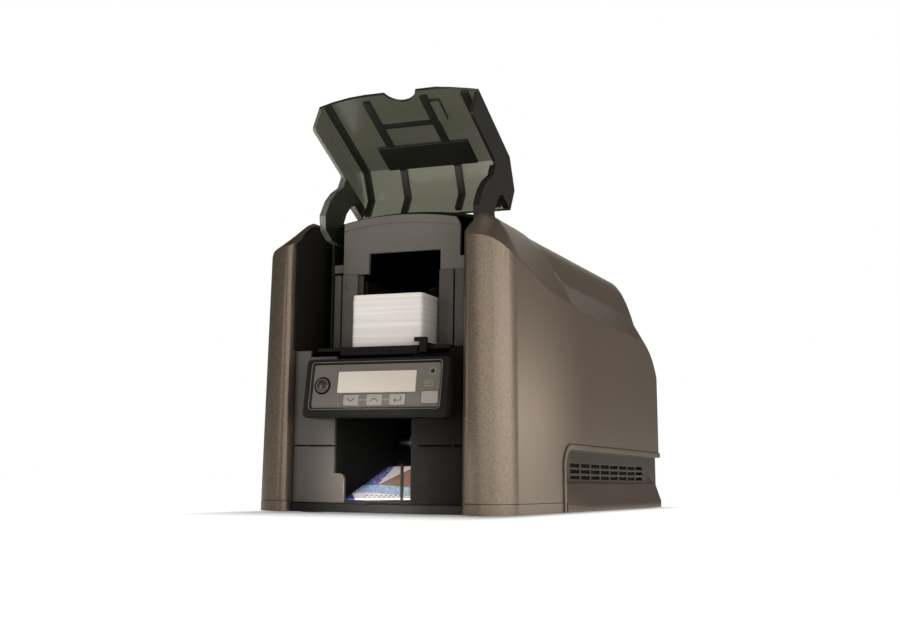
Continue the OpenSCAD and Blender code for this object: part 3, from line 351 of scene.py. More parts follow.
def smoked(name, colour, transmission, rough):
    """Smoked translucent moulding."""
    f = Finish(name)
    f.set(Transmission_Weight=transmission, IOR=1.45, Specular_IOR_Level=0.5)
    cloud = f.noise(22, 2, 0.5)
    fine = f.noise(900, 2, 0.5)
    dark = tuple(c * 0.86 for c in colour)
    f.feed(
        Base_Color=f.mix(f.remap(cloud, 0, 1), dark, colour),
        Roughness=f.remap(fine, rough - 0.04, rough + 0.06),
        Normal=f.bump(cloud, 0.4 * MM, 0.04),
    )
    return f.m


def metal(name, colour, rough):
    """Turned or rolled metal with fine lines along one way."""
    f = Finish(name)
    f.set(Metallic=1.0)
    lines = f.noise(1, 4, 0.6, stretch=(40, 900, 900))
    patch = f.noise(30, 2, 0.5)
    dark = tuple(c * 0.85 for c in colour)
    f.feed(
        Base_Color=f.mix(f.remap(patch, 0, 1), dark, colour),
        Roughness=f.remap(lines, rough - 0.08, rough + 0.12),
        Normal=f.bump(lines, 0.02 * MM, 0.4),
    )
    return f.m


class CardArt:
    """Reckons on the place across and along the printed card, both about 1 from edge to edge."""

    def __init__(self, f):
        self.f = f
        lie = f.t.nodes.new("ShaderNodeMapping")
        lie.vector_type = "TEXTURE"
        lie.inputs["Location"].default_value = (0.0005, y_at(9.2) * MM, 9.12 * MM)
        lie.inputs["Rotation"].default_value = (math.radians(16), 0, math.radians(4))
        f.link(f.coord.outputs["Object"], lie.inputs["Vector"])
        sep = f.t.nodes.new("ShaderNodeSeparateXYZ")
        f.link(lie.outputs[0], sep.inputs[0])
        self.across = self.calc("MULTIPLY", sep.outputs[0], 1 / CARD_WIDE)
        self.along = self.calc("MULTIPLY_ADD", sep.outputs[1], 1 / CARD_LONG, -0.023)

    def calc(self, op, *values):
        n = self.f.t.nodes.new("ShaderNodeMath")
        n.operation = op
        for sock, v in zip(n.inputs, values):
            if hasattr(v, "links"):
                self.f.link(v, sock)
            else:
                sock.default_value = v
        return n.outputs[0]

    def above(self, x, edge):
        return self.calc("GREATER_THAN", x, edge)

    def below(self, x, edge):
        return self.calc("LESS_THAN", x, edge)

    def both(self, a, b):
        return self.calc("MULTIPLY", a, b)

    def between(self, x, low, high):
        return self.both(self.above(x, low), self.below(x, high))

    def square(self, x):
        return self.calc("POWER", self.calc("ABSOLUTE", x), 2.0)


def card_art(name):
    """Generic printed card: blue field and band, white sweep, warm field with a plain disc."""
    f = Finish(name)
    f.set(Roughness=0.5, Specular_IOR_Level=0.2)
    art = CardArt(f)
    u, v = art.across, art.along
    wave = art.calc("MULTIPLY", art.calc("SINE", art.calc("MULTIPLY", u, 5.2)), 0.045)
    vw = art.calc("ADD", v, wave)
    white, deep, sky, red = hexa("ece4e6"), hexa("2c3894"), hexa("86add6"), hexa("b0655c")
    teal, sand, brick = hexa("8fb5a6"), hexa("80653a"), hexa("7a4534")
    cream, ink = hexa("e9d9b4"), hexa("7c6a7a")
    speck = f.noise(520, 1, 0.5)
    cloud = f.noise(90, 2, 0.5)
    # pale strip, light blue band and warm field behind it
    strip, band_left, band, red_edge = 0.14, 0.24, 0.37, 0.88
    tone = f.mix(art.above(vw, strip), white, f.mix(f.remap(speck, 0, 1, 0.56, 0.62), sky, white))
    tone = f.mix(art.both(art.above(u, band_left), art.between(vw, strip, band)), tone, teal)
    tone = f.mix(art.above(vw, band), tone, f.mix(f.remap(cloud, 0, 1), sand, brick))
    tone = f.mix(art.above(v, red_edge), tone, red)
    # plain disc, at 0.24 across and 0.98 / 1.5 along
    reach = art.calc("ADD", art.square(art.calc("ADD", u, -0.24)),
                     art.square(art.calc("MULTIPLY_ADD", v, 1.5, -0.98)))
    tone = f.mix(art.below(reach, 0.012), tone, cream)
    # white sweep beside the deep blue field along the left edge
    sweep = art.calc("MULTIPLY_ADD", v, -0.35, art.calc("ADD", u, 0.175))
    tone = f.mix(art.both(art.below(sweep, -0.26), art.above(vw, 0.40)), tone, white)
    field = f.mix(f.remap(speck, 0, 1, 0.60, 0.66), deep, white)
    slant = art.calc("MULTIPLY_ADD", v, 0.2, art.calc("ADD", u, -0.10))
    tone = f.mix(art.both(art.below(slant, -0.31), art.above(vw, band)), tone, field)
    tone = f.mix(art.below(art.calc("MULTIPLY_ADD", v, 0.9, u), -0.35), tone, deep)
    # two rows of short dashes where a name would be
    tall, half = 0.022, 0.30
    dash = art.above(art.calc("SINE", art.calc("MULTIPLY", u, 95.0)), -0.35)
    for row in (0.045, 0.09):
        line = art.both(art.between(v, row, row + tall), dash)
        tone = f.mix(art.both(line, art.between(u, -half, half)), tone, ink)
    grain = f.noise(1800, 2, 0.5)
    f.feed(
        Base_Color=f.mix(f.remap(grain, 0.0, 0.12), tone, white),
        Normal=f.bump(grain, 0.01 * MM, 0.3),
    )
    return f.m


def card_stock(name, colour):
    """White card edges: faint warm and cool layers from card to card."""
    f = Finish(name)
    layers = f.noise(1, 1, 0.4, (6, 6, 900))
    fine = f.noise(1500, 2, 0.5)
    shade = tuple(c * 0.84 for c in colour)
    f.feed(
        Base_Color=f.mix(f.remap(layers, 0, 1, 0.35, 0.65), shade, colour),
        Roughness=f.remap(fine, 0.32, 0.45),
        Normal=f.bump(fine, 0.01 * MM, 0.3),
    )
    return f.m


def cells(f, scale, first, second, joint, width):
    """Fine cells of two near colours with a joint between them."""
    n = f.t.nodes.new("ShaderNodeTexBrick")
    n.inputs["Scale"].default_value = scale
    for sock, colour in (("Color1", first), ("Color2", second), ("Mortar", joint)):
        n.inputs[sock].default_value = (*colour, 1)
    n.inputs["Mortar Size"].default_value = width
    return n


def window(name, colour):
    """Reflective display: pale field with its fine cell grid."""
    f = Finish(name)
    f.set(Coat_Weight=0.5, Coat_Roughness=0.12)
    near, joint, dull = (tuple(c * part for c in colour) for part in (0.985, 0.95, 0.9))
    grid = cells(f, 260, colour, near, joint, 0.012)
    turn = f.t.nodes.new("ShaderNodeMapping")
    turn.inputs["Rotation"].default_value = (TILT - math.radians(90), 0, 0)
    f.link(f.coord.outputs["Object"], turn.inputs["Vector"])
    f.link(turn.outputs[0], grid.inputs["Vector"])
    cloud = f.noise(30, 2, 0.5)
    f.feed(
        Base_Color=f.mix(f.remap(cloud, 0, 0.3), grid.outputs["Color"], dull),
        Roughness=f.remap(cloud, 0.3, 0.4),
    )
    return f.m


def board_finish(name):
    """Green lacquer over copper tracks."""
    f = Finish(name)
    f.set(Coat_Weight=0.4, Coat_Roughness=0.2)
    tracks = cells(f, 120, (0.012, 0.07, 0.03), (0.016, 0.09, 0.04), (0.03, 0.16, 0.07), 0.05)
    f.link(f.coord.outputs["Object"], tracks.inputs["Vector"])
    fine = f.noise(700, 2, 0.5)
    f.feed(
        Base_Color=tracks.outputs["Color"],
        Roughness=f.remap(fine, 0.3, 0.5),
        Normal=f.bump(fine, 0.02 * MM, 0.4),
    )
    return f.m


def mouldings(c):
    """Moulded, ground and inked finishes, with the values of plastic() that each one has."""
    return {
        "black": dict(colour=tuple(c.black), rough=0.5, spec=0.12),
        "bay_black": dict(colour=hexa("191815"), rough=0.6, grain=1100, depth=0.04, spec=0.15),
        "liner": dict(colour=hexa("191814"), rough=0.6, grain=900, depth=0.04, spec=0.12),
        # grey of the left fascias: partly their own colour, partly a painted reflection of the
        # light from the left
        "left_fascia": dict(
            colour=tuple(c.left_fascia), rough=0.40, grain=1600, depth=0.04, spec=0.35),
        # the right fascias' black, darker and duller than the other black parts: painted shade; the
        # power button's ring shares it
        "right_fascia": dict(colour=hexa("12110f"), rough=0.6, grain=1500, depth=0.04, spec=0.04),
        "bezel": dict(colour=hexa("171613"), rough=0.42, grain=1500, depth=0.03, spec=0.15),
        # light grey line round the display plate: painted highlight on the chamfer's edge
        "bezel_painted_highlight": dict(colour=hexa("6e6a63"), rough=0.3, grain=1500, depth=0.02),
        "panel_grey": dict(colour=tuple(c.panel), rough=0.42, grain=1500, depth=0.03),
        "hopper_grey": dict(colour=tuple(c.hopper), rough=0.48, grain=1100, depth=0.05),
        "left_column": dict(colour=hexa("5a554d"), rough=0.46, grain=1100, depth=0.05),
        # the right column's darker copy of the left column's grey: painted shade
        "right_column_painted_shade": dict(colour=hexa("4c4842"), rough=0.46, grain=1100, depth=0.05),
        "key_grey": dict(colour=hexa("9c958c"), rough=0.38, grain=1800, depth=0.03, spread=0.1),
        "door_rib": dict(colour=hexa("23231d"), rough=0.32, grain=900, depth=0.03),
        # the right flange of the smoked door made dark and opaque: painted shade
        "door_side_painted_shade": dict(colour=hexa("201f1c"), rough=0.34, grain=900, depth=0.008, spec=0.3),
        "spool": dict(colour=hexa("a9a6a0"), rough=0.45, grain=1200, depth=0.04),
        "lens": dict(
            name="status_lens_moulding", colour=hexa("26241f"), rough=0.2, grain=1500, depth=0.01),
        "cap": dict(
            name="button_cap_moulding", colour=hexa("3a3733"), rough=0.22, grain=1500, depth=0.02),
        "mark_dark": dict(
            name="mark_dark_ink", colour=hexa("5a554e"), rough=0.5, grain=1800, depth=0.02,
            spread=0.1),
        "mark_light": dict(
            name="mark_light_ink", colour=hexa("8d887f"), rough=0.5, grain=1800, depth=0.02,
            spread=0.1),
        "rubber": dict(
            name="rubber_ground", colour=hexa("1d1d1d"), rough=0.75, grain=2200, depth=0.06),
        "roller": dict(
            name="roller_rubber_ground", colour=hexa("33343a"), rough=0.7, grain=2400, depth=0.06),
        "ribbon": dict(
            name="ribbon_dye_film", colour=hexa("1c1a26"), rough=0.22, grain=700, depth=0.01),
    }


def other_finishes(c):
    """Makers of the paints, metals, smoked parts, cards, display and boards."""

    def cover_share(share):
        return tuple(share * v for v in c.cover)

    # half the door's tint: painted shade on the front panel and the left flange's faces
    door_shade_tint = tuple(0.5 * v for v in c.door)
    return {
        "cover_paint": lambda: cover_paint("cover_paint", tuple(c.cover)),
        # the cover paint at a third of its tone: painted shade in the vent panels' scoop
        "vent": lambda: cover_paint("vent_scoop_painted_shade", cover_share(0.31), spec=0.1),
        "vent_low": lambda: cover_paint("vent_low_paint", cover_share(0.80), spec=0.2),
        "door": lambda: smoked("door_smoked", tuple(c.door), transmission=0.82, rough=0.14),
        "door_painted_shade": lambda: smoked("door_front_smoked", door_shade_tint, transmission=0.8, rough=0.2),
        # a pale copy of the smoked moulding: painted highlight on the left flange's edge
        "door_edge_painted_highlight": lambda: smoked(
            "door_edge_smoked", hexa("a4a596"), transmission=0.55, rough=0.2),
        "steel": lambda: metal("zinc_steel", (0.50, 0.50, 0.50), rough=0.38),
        "dark_steel": lambda: metal("dark_coated_steel", (0.07, 0.07, 0.07), rough=0.45),
        "cards": lambda: card_stock("card_stock_white", hexa("f8f3ec")),
        "card_art": lambda: card_art("printed_card_art"),
        "lcd": lambda: window("display_field", hexa("d3cabc")),
        "board": lambda: board_finish("board_lacquer"),
    }


FINISHES = {}


def finish(name):
    """Makes each finish once, from the panel's colours."""
    if name not in FINISHES:
        c = bpy.context.scene.card_printer_colours
        moulded = mouldings(c)
        if name in moulded:
            FINISHES[name] = plastic(**{"name": name + "_moulding", **moulded[name]})
        else:
            FINISHES[name] = other_finishes(c)[name]()
    return FINISHES[name]


# ---- Settings --------------------------------------------------------------


def colour_of(label, about, default):
    return bpy.props.FloatVectorProperty(
        name=label, description=about, subtype="COLOR", min=0, max=1, default=default)


class CardPrinterColours(bpy.types.PropertyGroup):
    """Colours of the large pieces"""

    cover: colour_of("Covers", "Paint of the side covers", hexa("695e52"))
    black: colour_of("Black parts", "Moulded black covers", hexa("1a1815"))
    # partly the fascias' own grey, partly a painted reflection of the light from the left
    left_fascia: colour_of("Left fascias", "Dark grey fascias left of the bays", hexa("4f4a44"))
    panel: colour_of("Display plate", "Plate around the display", hexa("6a655f"))
    hopper: colour_of("Hopper frame", "Arched frame behind the hopper", hexa("6a655e"))
    door: colour_of("Hopper door", "Tint of the smoked door", (0.205, 0.208, 0.150))


class CardPrinterSizes(bpy.types.PropertyGroup):
    """Sizes of the fine detail"""

    cover_edge: bpy.props.FloatProperty(
        name="Cover edge", description="Rounding of the painted covers' edges",
        default=0.6 * MM, unit="LENGTH")
    trim_edge: bpy.props.FloatProperty(
        name="Trim edge", description="Rounding of the black covers' edges",
        default=0.4 * MM, unit="LENGTH")
    card_thickness: bpy.props.FloatProperty(
        name="Card thickness", description="Thickness of one blank card",
        default=0.76 * MM, unit="LENGTH")


# ---- Operators -------------------------------------------------------------


class PieceOperator(bpy.types.Operator):
    """What the makers of pieces share"""

    bl_options = {"REGISTER"}

    @property
    def sizes(self):
        return bpy.context.scene.card_printer_sizes


class CARDPRINTER_OT_covers(PieceOperator):
    """Painted side covers, skirts and vent panels"""

    bl_idname = "card_printer.covers"
    bl_label = "Side covers"

    def execute(self, context):
        paint = finish("cover_paint")
        for side in ("left", "right"):
            dress(side + "_cover", paint, edge=self.sizes.cover_edge / MM,
                  segments=3, smooth=15)
            dress(side + "_skirt", paint, edge=0.35)
            self.vent_panel(side, paint)
            dress(side + "_liner", finish("liner"), edge=0.25)
            self.vent_felt(side)
        return {"FINISHED"}

    @staticmethod
    def vent_panel(side, paint):
        """Louvred panel: rim in the cover paint, a scoop given a darker copy of it as painted
        shade, and a middle tone below it.
        """
        rim_front, rim_low, scoop_low = 147, 52, 21
        panel = dress(side + "_vent_panel", paint, edge=0.45)
        panel.data.materials.append(finish("vent"))
        panel.data.materials.append(finish("vent_low"))
        for p in panel.data.polygons:
            z = p.center.z / MM
            if z < scoop_low:
                p.material_index = 2
            # the scoop behind the rim: painted shade
            elif z < rim_low and depth_of(p.center) > rim_front:
                p.material_index = 1

    @staticmethod
    def vent_felt(side):
        """Thin felt behind the slots of a vent panel, slightly waved."""
        long, high, out, wave = 0.228, 0.021, 0.0884, 0.00015
        middle = (0, y_at(257) * MM, 0.0330)
        way = -1 if side == "left" else 1
        felt = grid(40, 10)
        felt.scale = (long, high, 1)
        felt.rotation_euler = (math.radians(90), 0, math.radians(90))
        settle(felt)
        for v in felt.data.vertices:
            v.co.x = out * way + wave * math.sin(v.co.y * 900) * math.sin(v.co.z * 1100)
        felt.data.transform(Matrix.Translation(middle))
        thicken(felt, 0.8)
        named(felt, side + "_vent_felt")
        adds_to(felt, "printer", finish("liner"))


class CARDPRINTER_OT_middle_covers(PieceOperator):
    """Black hood, lid and rear shell between the side covers"""

    bl_idname = "card_printer.middle_covers"
    bl_label = "Middle covers"

    def execute(self, context):
        for node in ("hopper_hood", "top_cover", "rear_cover", "base_pan"):
            dress(node, finish("black"), edge=self.sizes.trim_edge / MM, smooth=30)
        return {"FINISHED"}


class CARDPRINTER_OT_hopper(PieceOperator):
    """Card hopper: frame, guides, floor and hook"""

    bl_idname = "card_printer.hopper"
    bl_label = "Card hopper"

    def execute(self, context):
        dress("hopper_frame", finish("hopper_grey"), edge=0.35)
        columns = dress("hopper_columns", finish("left_column"), edge=0.35)
        # the right column gets a darker copy of the left one's grey: painted shade
        columns.data.materials.append(finish("right_column_painted_shade"))
        for p in columns.data.polygons:
            p.material_index = int(p.center.x > 0)
        for node in ("hopper_floor", "hopper_guides", "card_stop"):
            dress(node, finish("black"), edge=0.3)
        return {"FINISHED"}


class CARDPRINTER_OT_cards(PieceOperator):
    """Stack of blank cards and the printed card on the tray"""

    bl_idname = "card_printer.cards"
    bl_label = "Cards"

    def execute(self, context):
        lo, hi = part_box("card_stack")
        t = self.sizes.card_thickness
        play, headroom = 0.00002, 0.0001
        pitch = t + play
        card = self.blank(t)
        cards = []
        middle = y_at(15.3) * MM + CARD_LONG / 2 + 0.00025
        for i in range(int(((hi.z - lo.z) - headroom) / pitch)):
            c = card.copy()
            c.data = card.data.copy()
            bpy.context.scene.collection.objects.link(c)
            # no card lies quite true, and the stack was loaded in packs
            of_pack = i % PACK
            aside = math.sin(i * 2.7) * 0.00012 + math.sin(i * 0.61) * 0.0001
            back = 0.0002 * math.sin(i * 1.9) + (0.00025 if of_pack >= PACK - 2 else 0)
            gap = 0.00005 if of_pack == 0 else 0
            place = (aside, middle + back, lo.z + t * 0.5 + i * pitch + gap)
            c.data.transform(Matrix.Translation(place))
            cards.append(c)
        bpy.data.objects.remove(card)
        stack = joined(cards, "card_stack_look")
        take(stack)
        bpy.ops.object.shade_smooth_by_angle(angle=math.radians(32))
        stack.data.materials.append(finish("cards"))
        stands_for(stack, "card_stack")
        dress("printed_card", finish("card_art"), edge=0.08, segments=1)
        return {"FINISHED"}

    @staticmethod
    def blank(t):
        """One blank card, as the stack repeats it.

        Known fault: in edit mode the choice of the upright edges spreads to all edges, so the
        bevel takes them all. The card comes out 5.7 mm high, where 0.7 mm is meant, and the
        cards of the stack run through each other.
        """
        card = block((CARD_WIDE, CARD_LONG, t * 0.93))
        edit(card, False)
        done()
        for e in card.data.edges:
            a, b = (card.data.vertices[i].co for i in e.vertices)
            e.select = abs(a.z - b.z) > t * 0.5
        bpy.ops.object.mode_set(mode="EDIT")
        bpy.ops.mesh.select_mode(type="EDGE")
        bpy.ops.mesh.bevel(offset=CARD_CORNER, segments=4, affect="EDGES")
        done()
        return card


class CARDPRINTER_OT_door(PieceOperator):
    """Smoked hopper door with darker ribs and its inner bar; painted shade on its front panel and
    flanges, and a painted highlight on the left flange's edge
    """

    bl_idname = "card_printer.door"
    bl_label = "Hopper door"

    def execute(self, context):
        door = copy_of("hopper_door", "hopper_door_look")
        soften(door, 0.5, 2, smooth=35)
        level(door)
        skin, rib, right_side_painted_shade, front, left_edge_painted_highlight = range(5)
        for key in ("door", "door_rib", "door_side_painted_shade", "door_painted_shade", "door_edge_painted_highlight"):
            door.data.materials.append(finish(key))
        # the door as it stands closed, to tell skin, ribs and flanges apart
        flange, latch, front_top, front_deep = 60.7, (25, 34), 189, 6
        pivot, opened = Vector((0, y_at(68) * MM, 0.199)), math.radians(117.4)
        swing = Matrix.Rotation(opened, 4, "X")
        back = Matrix.Translation(pivot) @ swing @ Matrix.Translation(-pivot)
        for p in door.data.polygons:
            c = back @ p.center
            n = back.to_3x3() @ p.normal
            x, d, z = c.x / MM, depth_of(c), c.z / MM
            # right flange: painted shade
            if x > flange:
                p.material_index = right_side_painted_shade
            # left flange: painted highlight on its edges, painted shade on its faces
            elif x < -flange:
                p.material_index = left_edge_painted_highlight if abs(n.x) < 0.5 else front
            elif self.on_rib(d, z) and not latch[0] < x < latch[1]:
                p.material_index = rib
            # front panel: painted shade
            elif z < front_top and d < front_deep:
                p.material_index = front
            else:
                p.material_index = skin
        stands_for(door, "hopper_door")
        dress("door_label_plate", finish("door_rib"), edge=0.4)
        return {"FINISHED"}

    @staticmethod
    def on_rib(d, z):
        """True for a face that stands proud of the inside of the skin."""
        bend, panel_thick, slope_deep, rise, low, high = 190, 3.2, 15.5, 1.31, 200, 207.4
        if z < bend:
            return d > panel_thick
        if d < slope_deep:
            return z - bend < d * rise - 5.2
        return low < z < high


class CARDPRINTER_OT_fascias(PieceOperator):
    """Front fascias, output tray and its finger"""

    bl_idname = "card_printer.fascias"
    bl_label = "Fascias"

    def execute(self, context):
        # their grey is partly a painted reflection of the light from the left
        for node in ("upper_left_fascia", "lower_left_fascia"):
            dress(node, finish("left_fascia"), edge=0.5)
        # a darker, duller black than the other black parts: painted shade
        for node in ("upper_right_fascia", "lower_right_fascia"):
            dress(node, finish("right_fascia"), edge=self.sizes.trim_edge / MM)
        dress("output_tray", finish("bay_black"), edge=0.3)
        finger = dress("tray_finger", finish("liner"), edge=0.3)
        lo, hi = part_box("tray_finger")
        middle, slim = (lo.x + hi.x) / 2, 0.55
        for v in finger.data.vertices:
            v.co.x = middle + (v.co.x - middle) * slim
        return {"FINISHED"}


FACE_ORIGIN = Vector((0, y_at(-13) * MM, 0.067))
FACE = Matrix.Translation(FACE_ORIGIN) @ Matrix.Rotation(math.radians(90) - TILT, 4, "X")
# places on the display face in millimetres: across, up, and out from it
KEYS = {"button_down": -13, "button_up": 4.6, "button_enter": 21.6}
KEY_ROW = 10.2
LAMP = (46, 29.3)
POWER = (-36, 20.5)
KEY_TOP = -0.8
PLATE_TOP = -1.5


def face_bar(x, y, w, h, z0, z1, turn=0.0):
    """A small raised bar on the display face, with softened edges.

    The bevel is wider than the bar is thick, so it comes out up to 0.18 mm thick.
    """
    edge, size = 0.12, (w * MM, h * MM, (z1 - z0) * MM)
    bar = block(size, (x * MM, y * MM, (z0 + z1) / 2 * MM), turn)
    edit(bar)
    bpy.ops.mesh.bevel(offset=edge * MM, segments=1, affect="EDGES")
    done()
    bar.data.transform(FACE)
    return bar


def face_ring(x, y, r, thick, z):
    """A round ring that lies on the display face."""
    bpy.ops.mesh.primitive_torus_add(
        major_radius=r * MM, minor_radius=thick * MM, major_segments=40, minor_segments=10,
        location=(0, 0, 0))
    ring = bpy.context.object
    ring.data.transform(FACE @ Matrix.Translation((x * MM, y * MM, z * MM)))
    take(ring)
    bpy.ops.object.shade_smooth_by_angle(angle=math.radians(60))
    return ring


class CARDPRINTER_OT_display(PieceOperator):
    """Display housing, plate, window, keys and their symbols"""

    bl_idname = "card_printer.display"
    bl_label = "Display panel"

    def execute(self, context):
        dress("display_housing", finish("bezel"), edge=0.8, segments=3)
        dress("display_plate", finish("panel_grey"), edge=0.2)
        dress("display_glass", finish("lcd"), edge=0.2)
        self.rim()
        self.board()
        for key in (*KEYS, "button_user"):
            dress(key, finish("key_grey"), edge=0.35)
        dress("power_button", finish("cap"), edge=0.3)
        self.key_marks()
        self.plate_marks()
        self.power_marks()
        return {"FINISHED"}

    @staticmethod
    def rim():
        """Fine raised line round the recess of the display plate, light grey as a painted highlight
        along the chamfer's edge.
        """
        x0, x1, y0, y1 = -44.9, 53.6, 3.4, 36.8
        corner, line, thick = 2.6, 0.5, 0.4
        bpy.ops.mesh.primitive_plane_add(size=1, location=(0, 0, 0))
        rim = bpy.context.object
        rim.scale = ((x1 - x0) * MM, (y1 - y0) * MM, 1)
        settle(rim)
        edit(rim)
        bpy.ops.mesh.bevel(offset=corner * MM, segments=6, affect="VERTICES")
        bpy.ops.mesh.inset(thickness=line * MM)
        bpy.ops.mesh.delete(type="FACE")
        done()
        thicken(rim, thick, 0)
        soften(rim, 0.15)
        middle = ((x0 + x1) / 2 * MM, (y0 + y1) / 2 * MM, 0)
        rim.data.transform(FACE @ Matrix.Translation(middle))
        named(rim, "display_rim_painted_highlight")
        adds_to(rim, "printer", finish("bezel_painted_highlight"))

    @staticmethod
    def board():
        """Board behind the display, with a lens where the status lamp is."""
        lens_reach, lens_back = 1.6, -3.4
        board = dress("display_board", finish("board"), edge=0.1, segments=1)
        board.data.materials.append(finish("lens"))
        to_face = FACE.inverted()
        for p in board.data.polygons:
            c = to_face @ p.center / MM
            if math.hypot(c.x - LAMP[0], c.y - LAMP[1]) < lens_reach and c.z > lens_back:
                p.material_index = 1

    @staticmethod
    def key_marks():
        """Chevrons of the down and up keys, and the bent arrow of the enter key."""
        z, top, y, lean = KEY_TOP, KEY_TOP + 0.08, KEY_ROW, 0.62
        for key, way in (("button_down", -1), ("button_up", 1)):
            x = KEYS[key]
            arms = [
                face_bar(x - 1.35, y, 3.9, 0.75, z, top, way * lean),
                face_bar(x + 1.35, y, 3.9, 0.75, z, top, -way * lean),
            ]
            adds_to(joined(arms, key + "_mark"), key, finish("mark_dark"))
        x = KEYS["button_enter"]
        arrow = [
            face_bar(x + 0.3, y - 0.7, 5.2, 0.7, z, top),
            face_bar(x + 2.75, y + 0.5, 0.7, 3.0, z, top),
            face_bar(x - 1.6, y - 0.1, 2.1, 0.65, z, top, 0.7),
            face_bar(x - 1.6, y - 1.3, 2.1, 0.65, z, top, -0.7),
        ]
        adds_to(joined(arrow, "button_enter_mark"), "button_enter",
                finish("mark_dark"))

    @staticmethod
    def plate_marks():
        """Lines that join the keys, the status ring and the card mark below it."""
        z, top, key_wide = PLATE_TOP, PLATE_TOP + 0.06, 12.6
        x = list(KEYS.values())
        links = [face_bar((a + b) / 2, KEY_ROW, b - a - key_wide, 0.9, z, top)
                 for a, b in zip(x, x[1:])]
        adds_to(joined(links, "key_links"), "printer", finish("mark_light"))
        ring = face_ring(*LAMP, 2.3, 0.28, z + 0.02)
        adds_to(ring, "printer", finish("mark_light"))
        marks = [
            face_bar(43.7, 22.6, 5.6, 0.5, z, top),
            face_bar(43.7, 19.2, 5.6, 0.5, z, top),
            face_bar(40.9, 20.9, 0.5, 3.9, z, top),
            face_bar(46.5, 20.9, 0.5, 3.9, z, top),
            face_bar(43.4, 21.2, 3.2, 0.8, z, top),
        ]
        adds_to(joined(marks, "card_mark"), "printer", finish("mark_light"))

    @staticmethod
    def power_marks():
        """Dark ring and low dome of the power button."""
        ring = face_ring(*POWER, 5.3, 0.95, PLATE_TOP - 0.25)
        adds_to(ring, "printer", finish("right_fascia"))
        cut, reach, rise, cap_top, sunk = 0.25, 4.4, 1.7, -0.9, 0.42
        bpy.ops.mesh.primitive_uv_sphere_add(
            segments=40, ring_count=20, radius=1, location=(0, 0, 0))
        dome = bpy.context.object
        edit(dome)
        bpy.ops.mesh.bisect(
            plane_co=(0, 0, cut), plane_no=(0, 0, 1), use_fill=True, clear_inner=True)
        done()
        dome.scale = (reach * MM, reach * MM, rise * MM)
        settle(dome)
        place = (POWER[0] * MM, POWER[1] * MM, (cap_top - sunk) * MM)
        dome.data.transform(FACE @ Matrix.Translation(place))
        soften(dome, 0, smooth=40)
        adds_to(dome, "power_button", finish("cap"))


class CARDPRINTER_OT_mechanism(PieceOperator):
    """Chassis, rollers, ribbon, head and drive"""

    bl_idname = "card_printer.mechanism"
    bl_label = "Mechanism"

    def execute(self, context):
        for node in ("chassis_left", "chassis_right"):
            dress(node, finish("dark_steel"), edge=0.15, segments=1)
        for node in ("cross_bars", "hinge_pins", "door_pins", "printhead_bracket", "drive_motor",
                     "motor_pulley"):
            dress(node, finish("steel"), edge=0.2, segments=1)
        dress("printhead", finish("black"), edge=0.25)
        dress("drive_belt", finish("rubber"), edge=0.2, segments=1)
        dress("rubber_feet", finish("rubber"), edge=0.4)
        dress("ribbon_film", finish("ribbon"), edge=0)
        self.rollers()
        self.spools()
        return {"FINISHED"}

    @staticmethod
    def rollers():
        """Shafts with a rubber sleeve round the middle of each."""
        shaft, half_sleeve = 6.2, 0.030
        axes = {
            "pick_roller": (76, 105.6), "feed_roller": (128, 104), "cleaning_roller": (156, 104),
            "platen_roller": (208, 104), "exit_roller": (116, 52)}
        for node, (d, z) in axes.items():
            # the exit roller's shaft, deep in the bay, takes the dark steel in place of zinc:
            # painted shade
            core = finish("dark_steel" if node == "exit_roller" else "steel")
            piece = dress(node, core, edge=0.25)
            piece.data.materials.append(finish("roller"))
            for p in piece.data.polygons:
                off = math.hypot(p.center.y / MM - y_at(d), p.center.z / MM - z)
                end_face = abs(p.normal.x) > 0.5
                if abs(p.center.x) < half_sleeve and (off > shaft or end_face):
                    p.material_index = 1

    @staticmethod
    def spools():
        """Spools with the wound film between their flanges."""
        half_film = 0.0325
        for node in ("ribbon_supply", "ribbon_takeup"):
            piece = dress(node, finish("spool"), edge=0.3)
            piece.data.materials.append(finish("ribbon"))
            for p in piece.data.polygons:
                if abs(p.center.x) < half_film:
                    p.material_index = 1


class CARDPRINTER_OT_rear(PieceOperator):
    """Boards, sockets, fan and screws"""

    bl_idname = "card_printer.rear"
    bl_label = "Rear fittings"

    def execute(self, context):
        dress("main_board", finish("board"), edge=0.15, segments=1)
        dress("rear_ports", finish("black"), edge=0.15, segments=1)
        dress("fan_housing", finish("black"), edge=0.25)
        dress("fan_rotor", finish("left_fascia"), edge=0.2)
        dress("cover_screws", finish("steel"), edge=0.15)
        self.crown_plate()
        self.seals()
        return {"FINISHED"}

    @staticmethod
    def crown_plate():
        """Arched plate that closes the rear panel up to the crown of the shell."""
        half, low, top, fall, y = 59.8, 139.3, 148.86, 0.00186, 0.2204
        plate = grid(32, 2)
        for v in plate.data.vertices:
            x = v.co.x * 2 * half
            high = top - fall * x * x
            z = low + (v.co.y + 0.5) * (high - low)
            v.co = Vector((x * MM, y, z * MM))
        thicken(plate, 1.2, 0)
        soften(plate, 0.15)
        named(plate, "rear_crown_plate")
        adds_to(plate, "printer", finish("black"))

    @staticmethod
    def seals():
        """Foam strips behind the gaps beside the rear panel."""
        out, y, z = 64.5, 217.6, 83
        wide, deep, high = 4.2, 2.4, 136
        strips = []
        for x in (-out, out):
            strip = block((wide * MM, deep * MM, high * MM), (x * MM, y * MM, z * MM))
            soften(strip, 0.6)
            strips.append(strip)
        adds_to(joined(strips, "rear_seals"), "printer", finish("liner"))


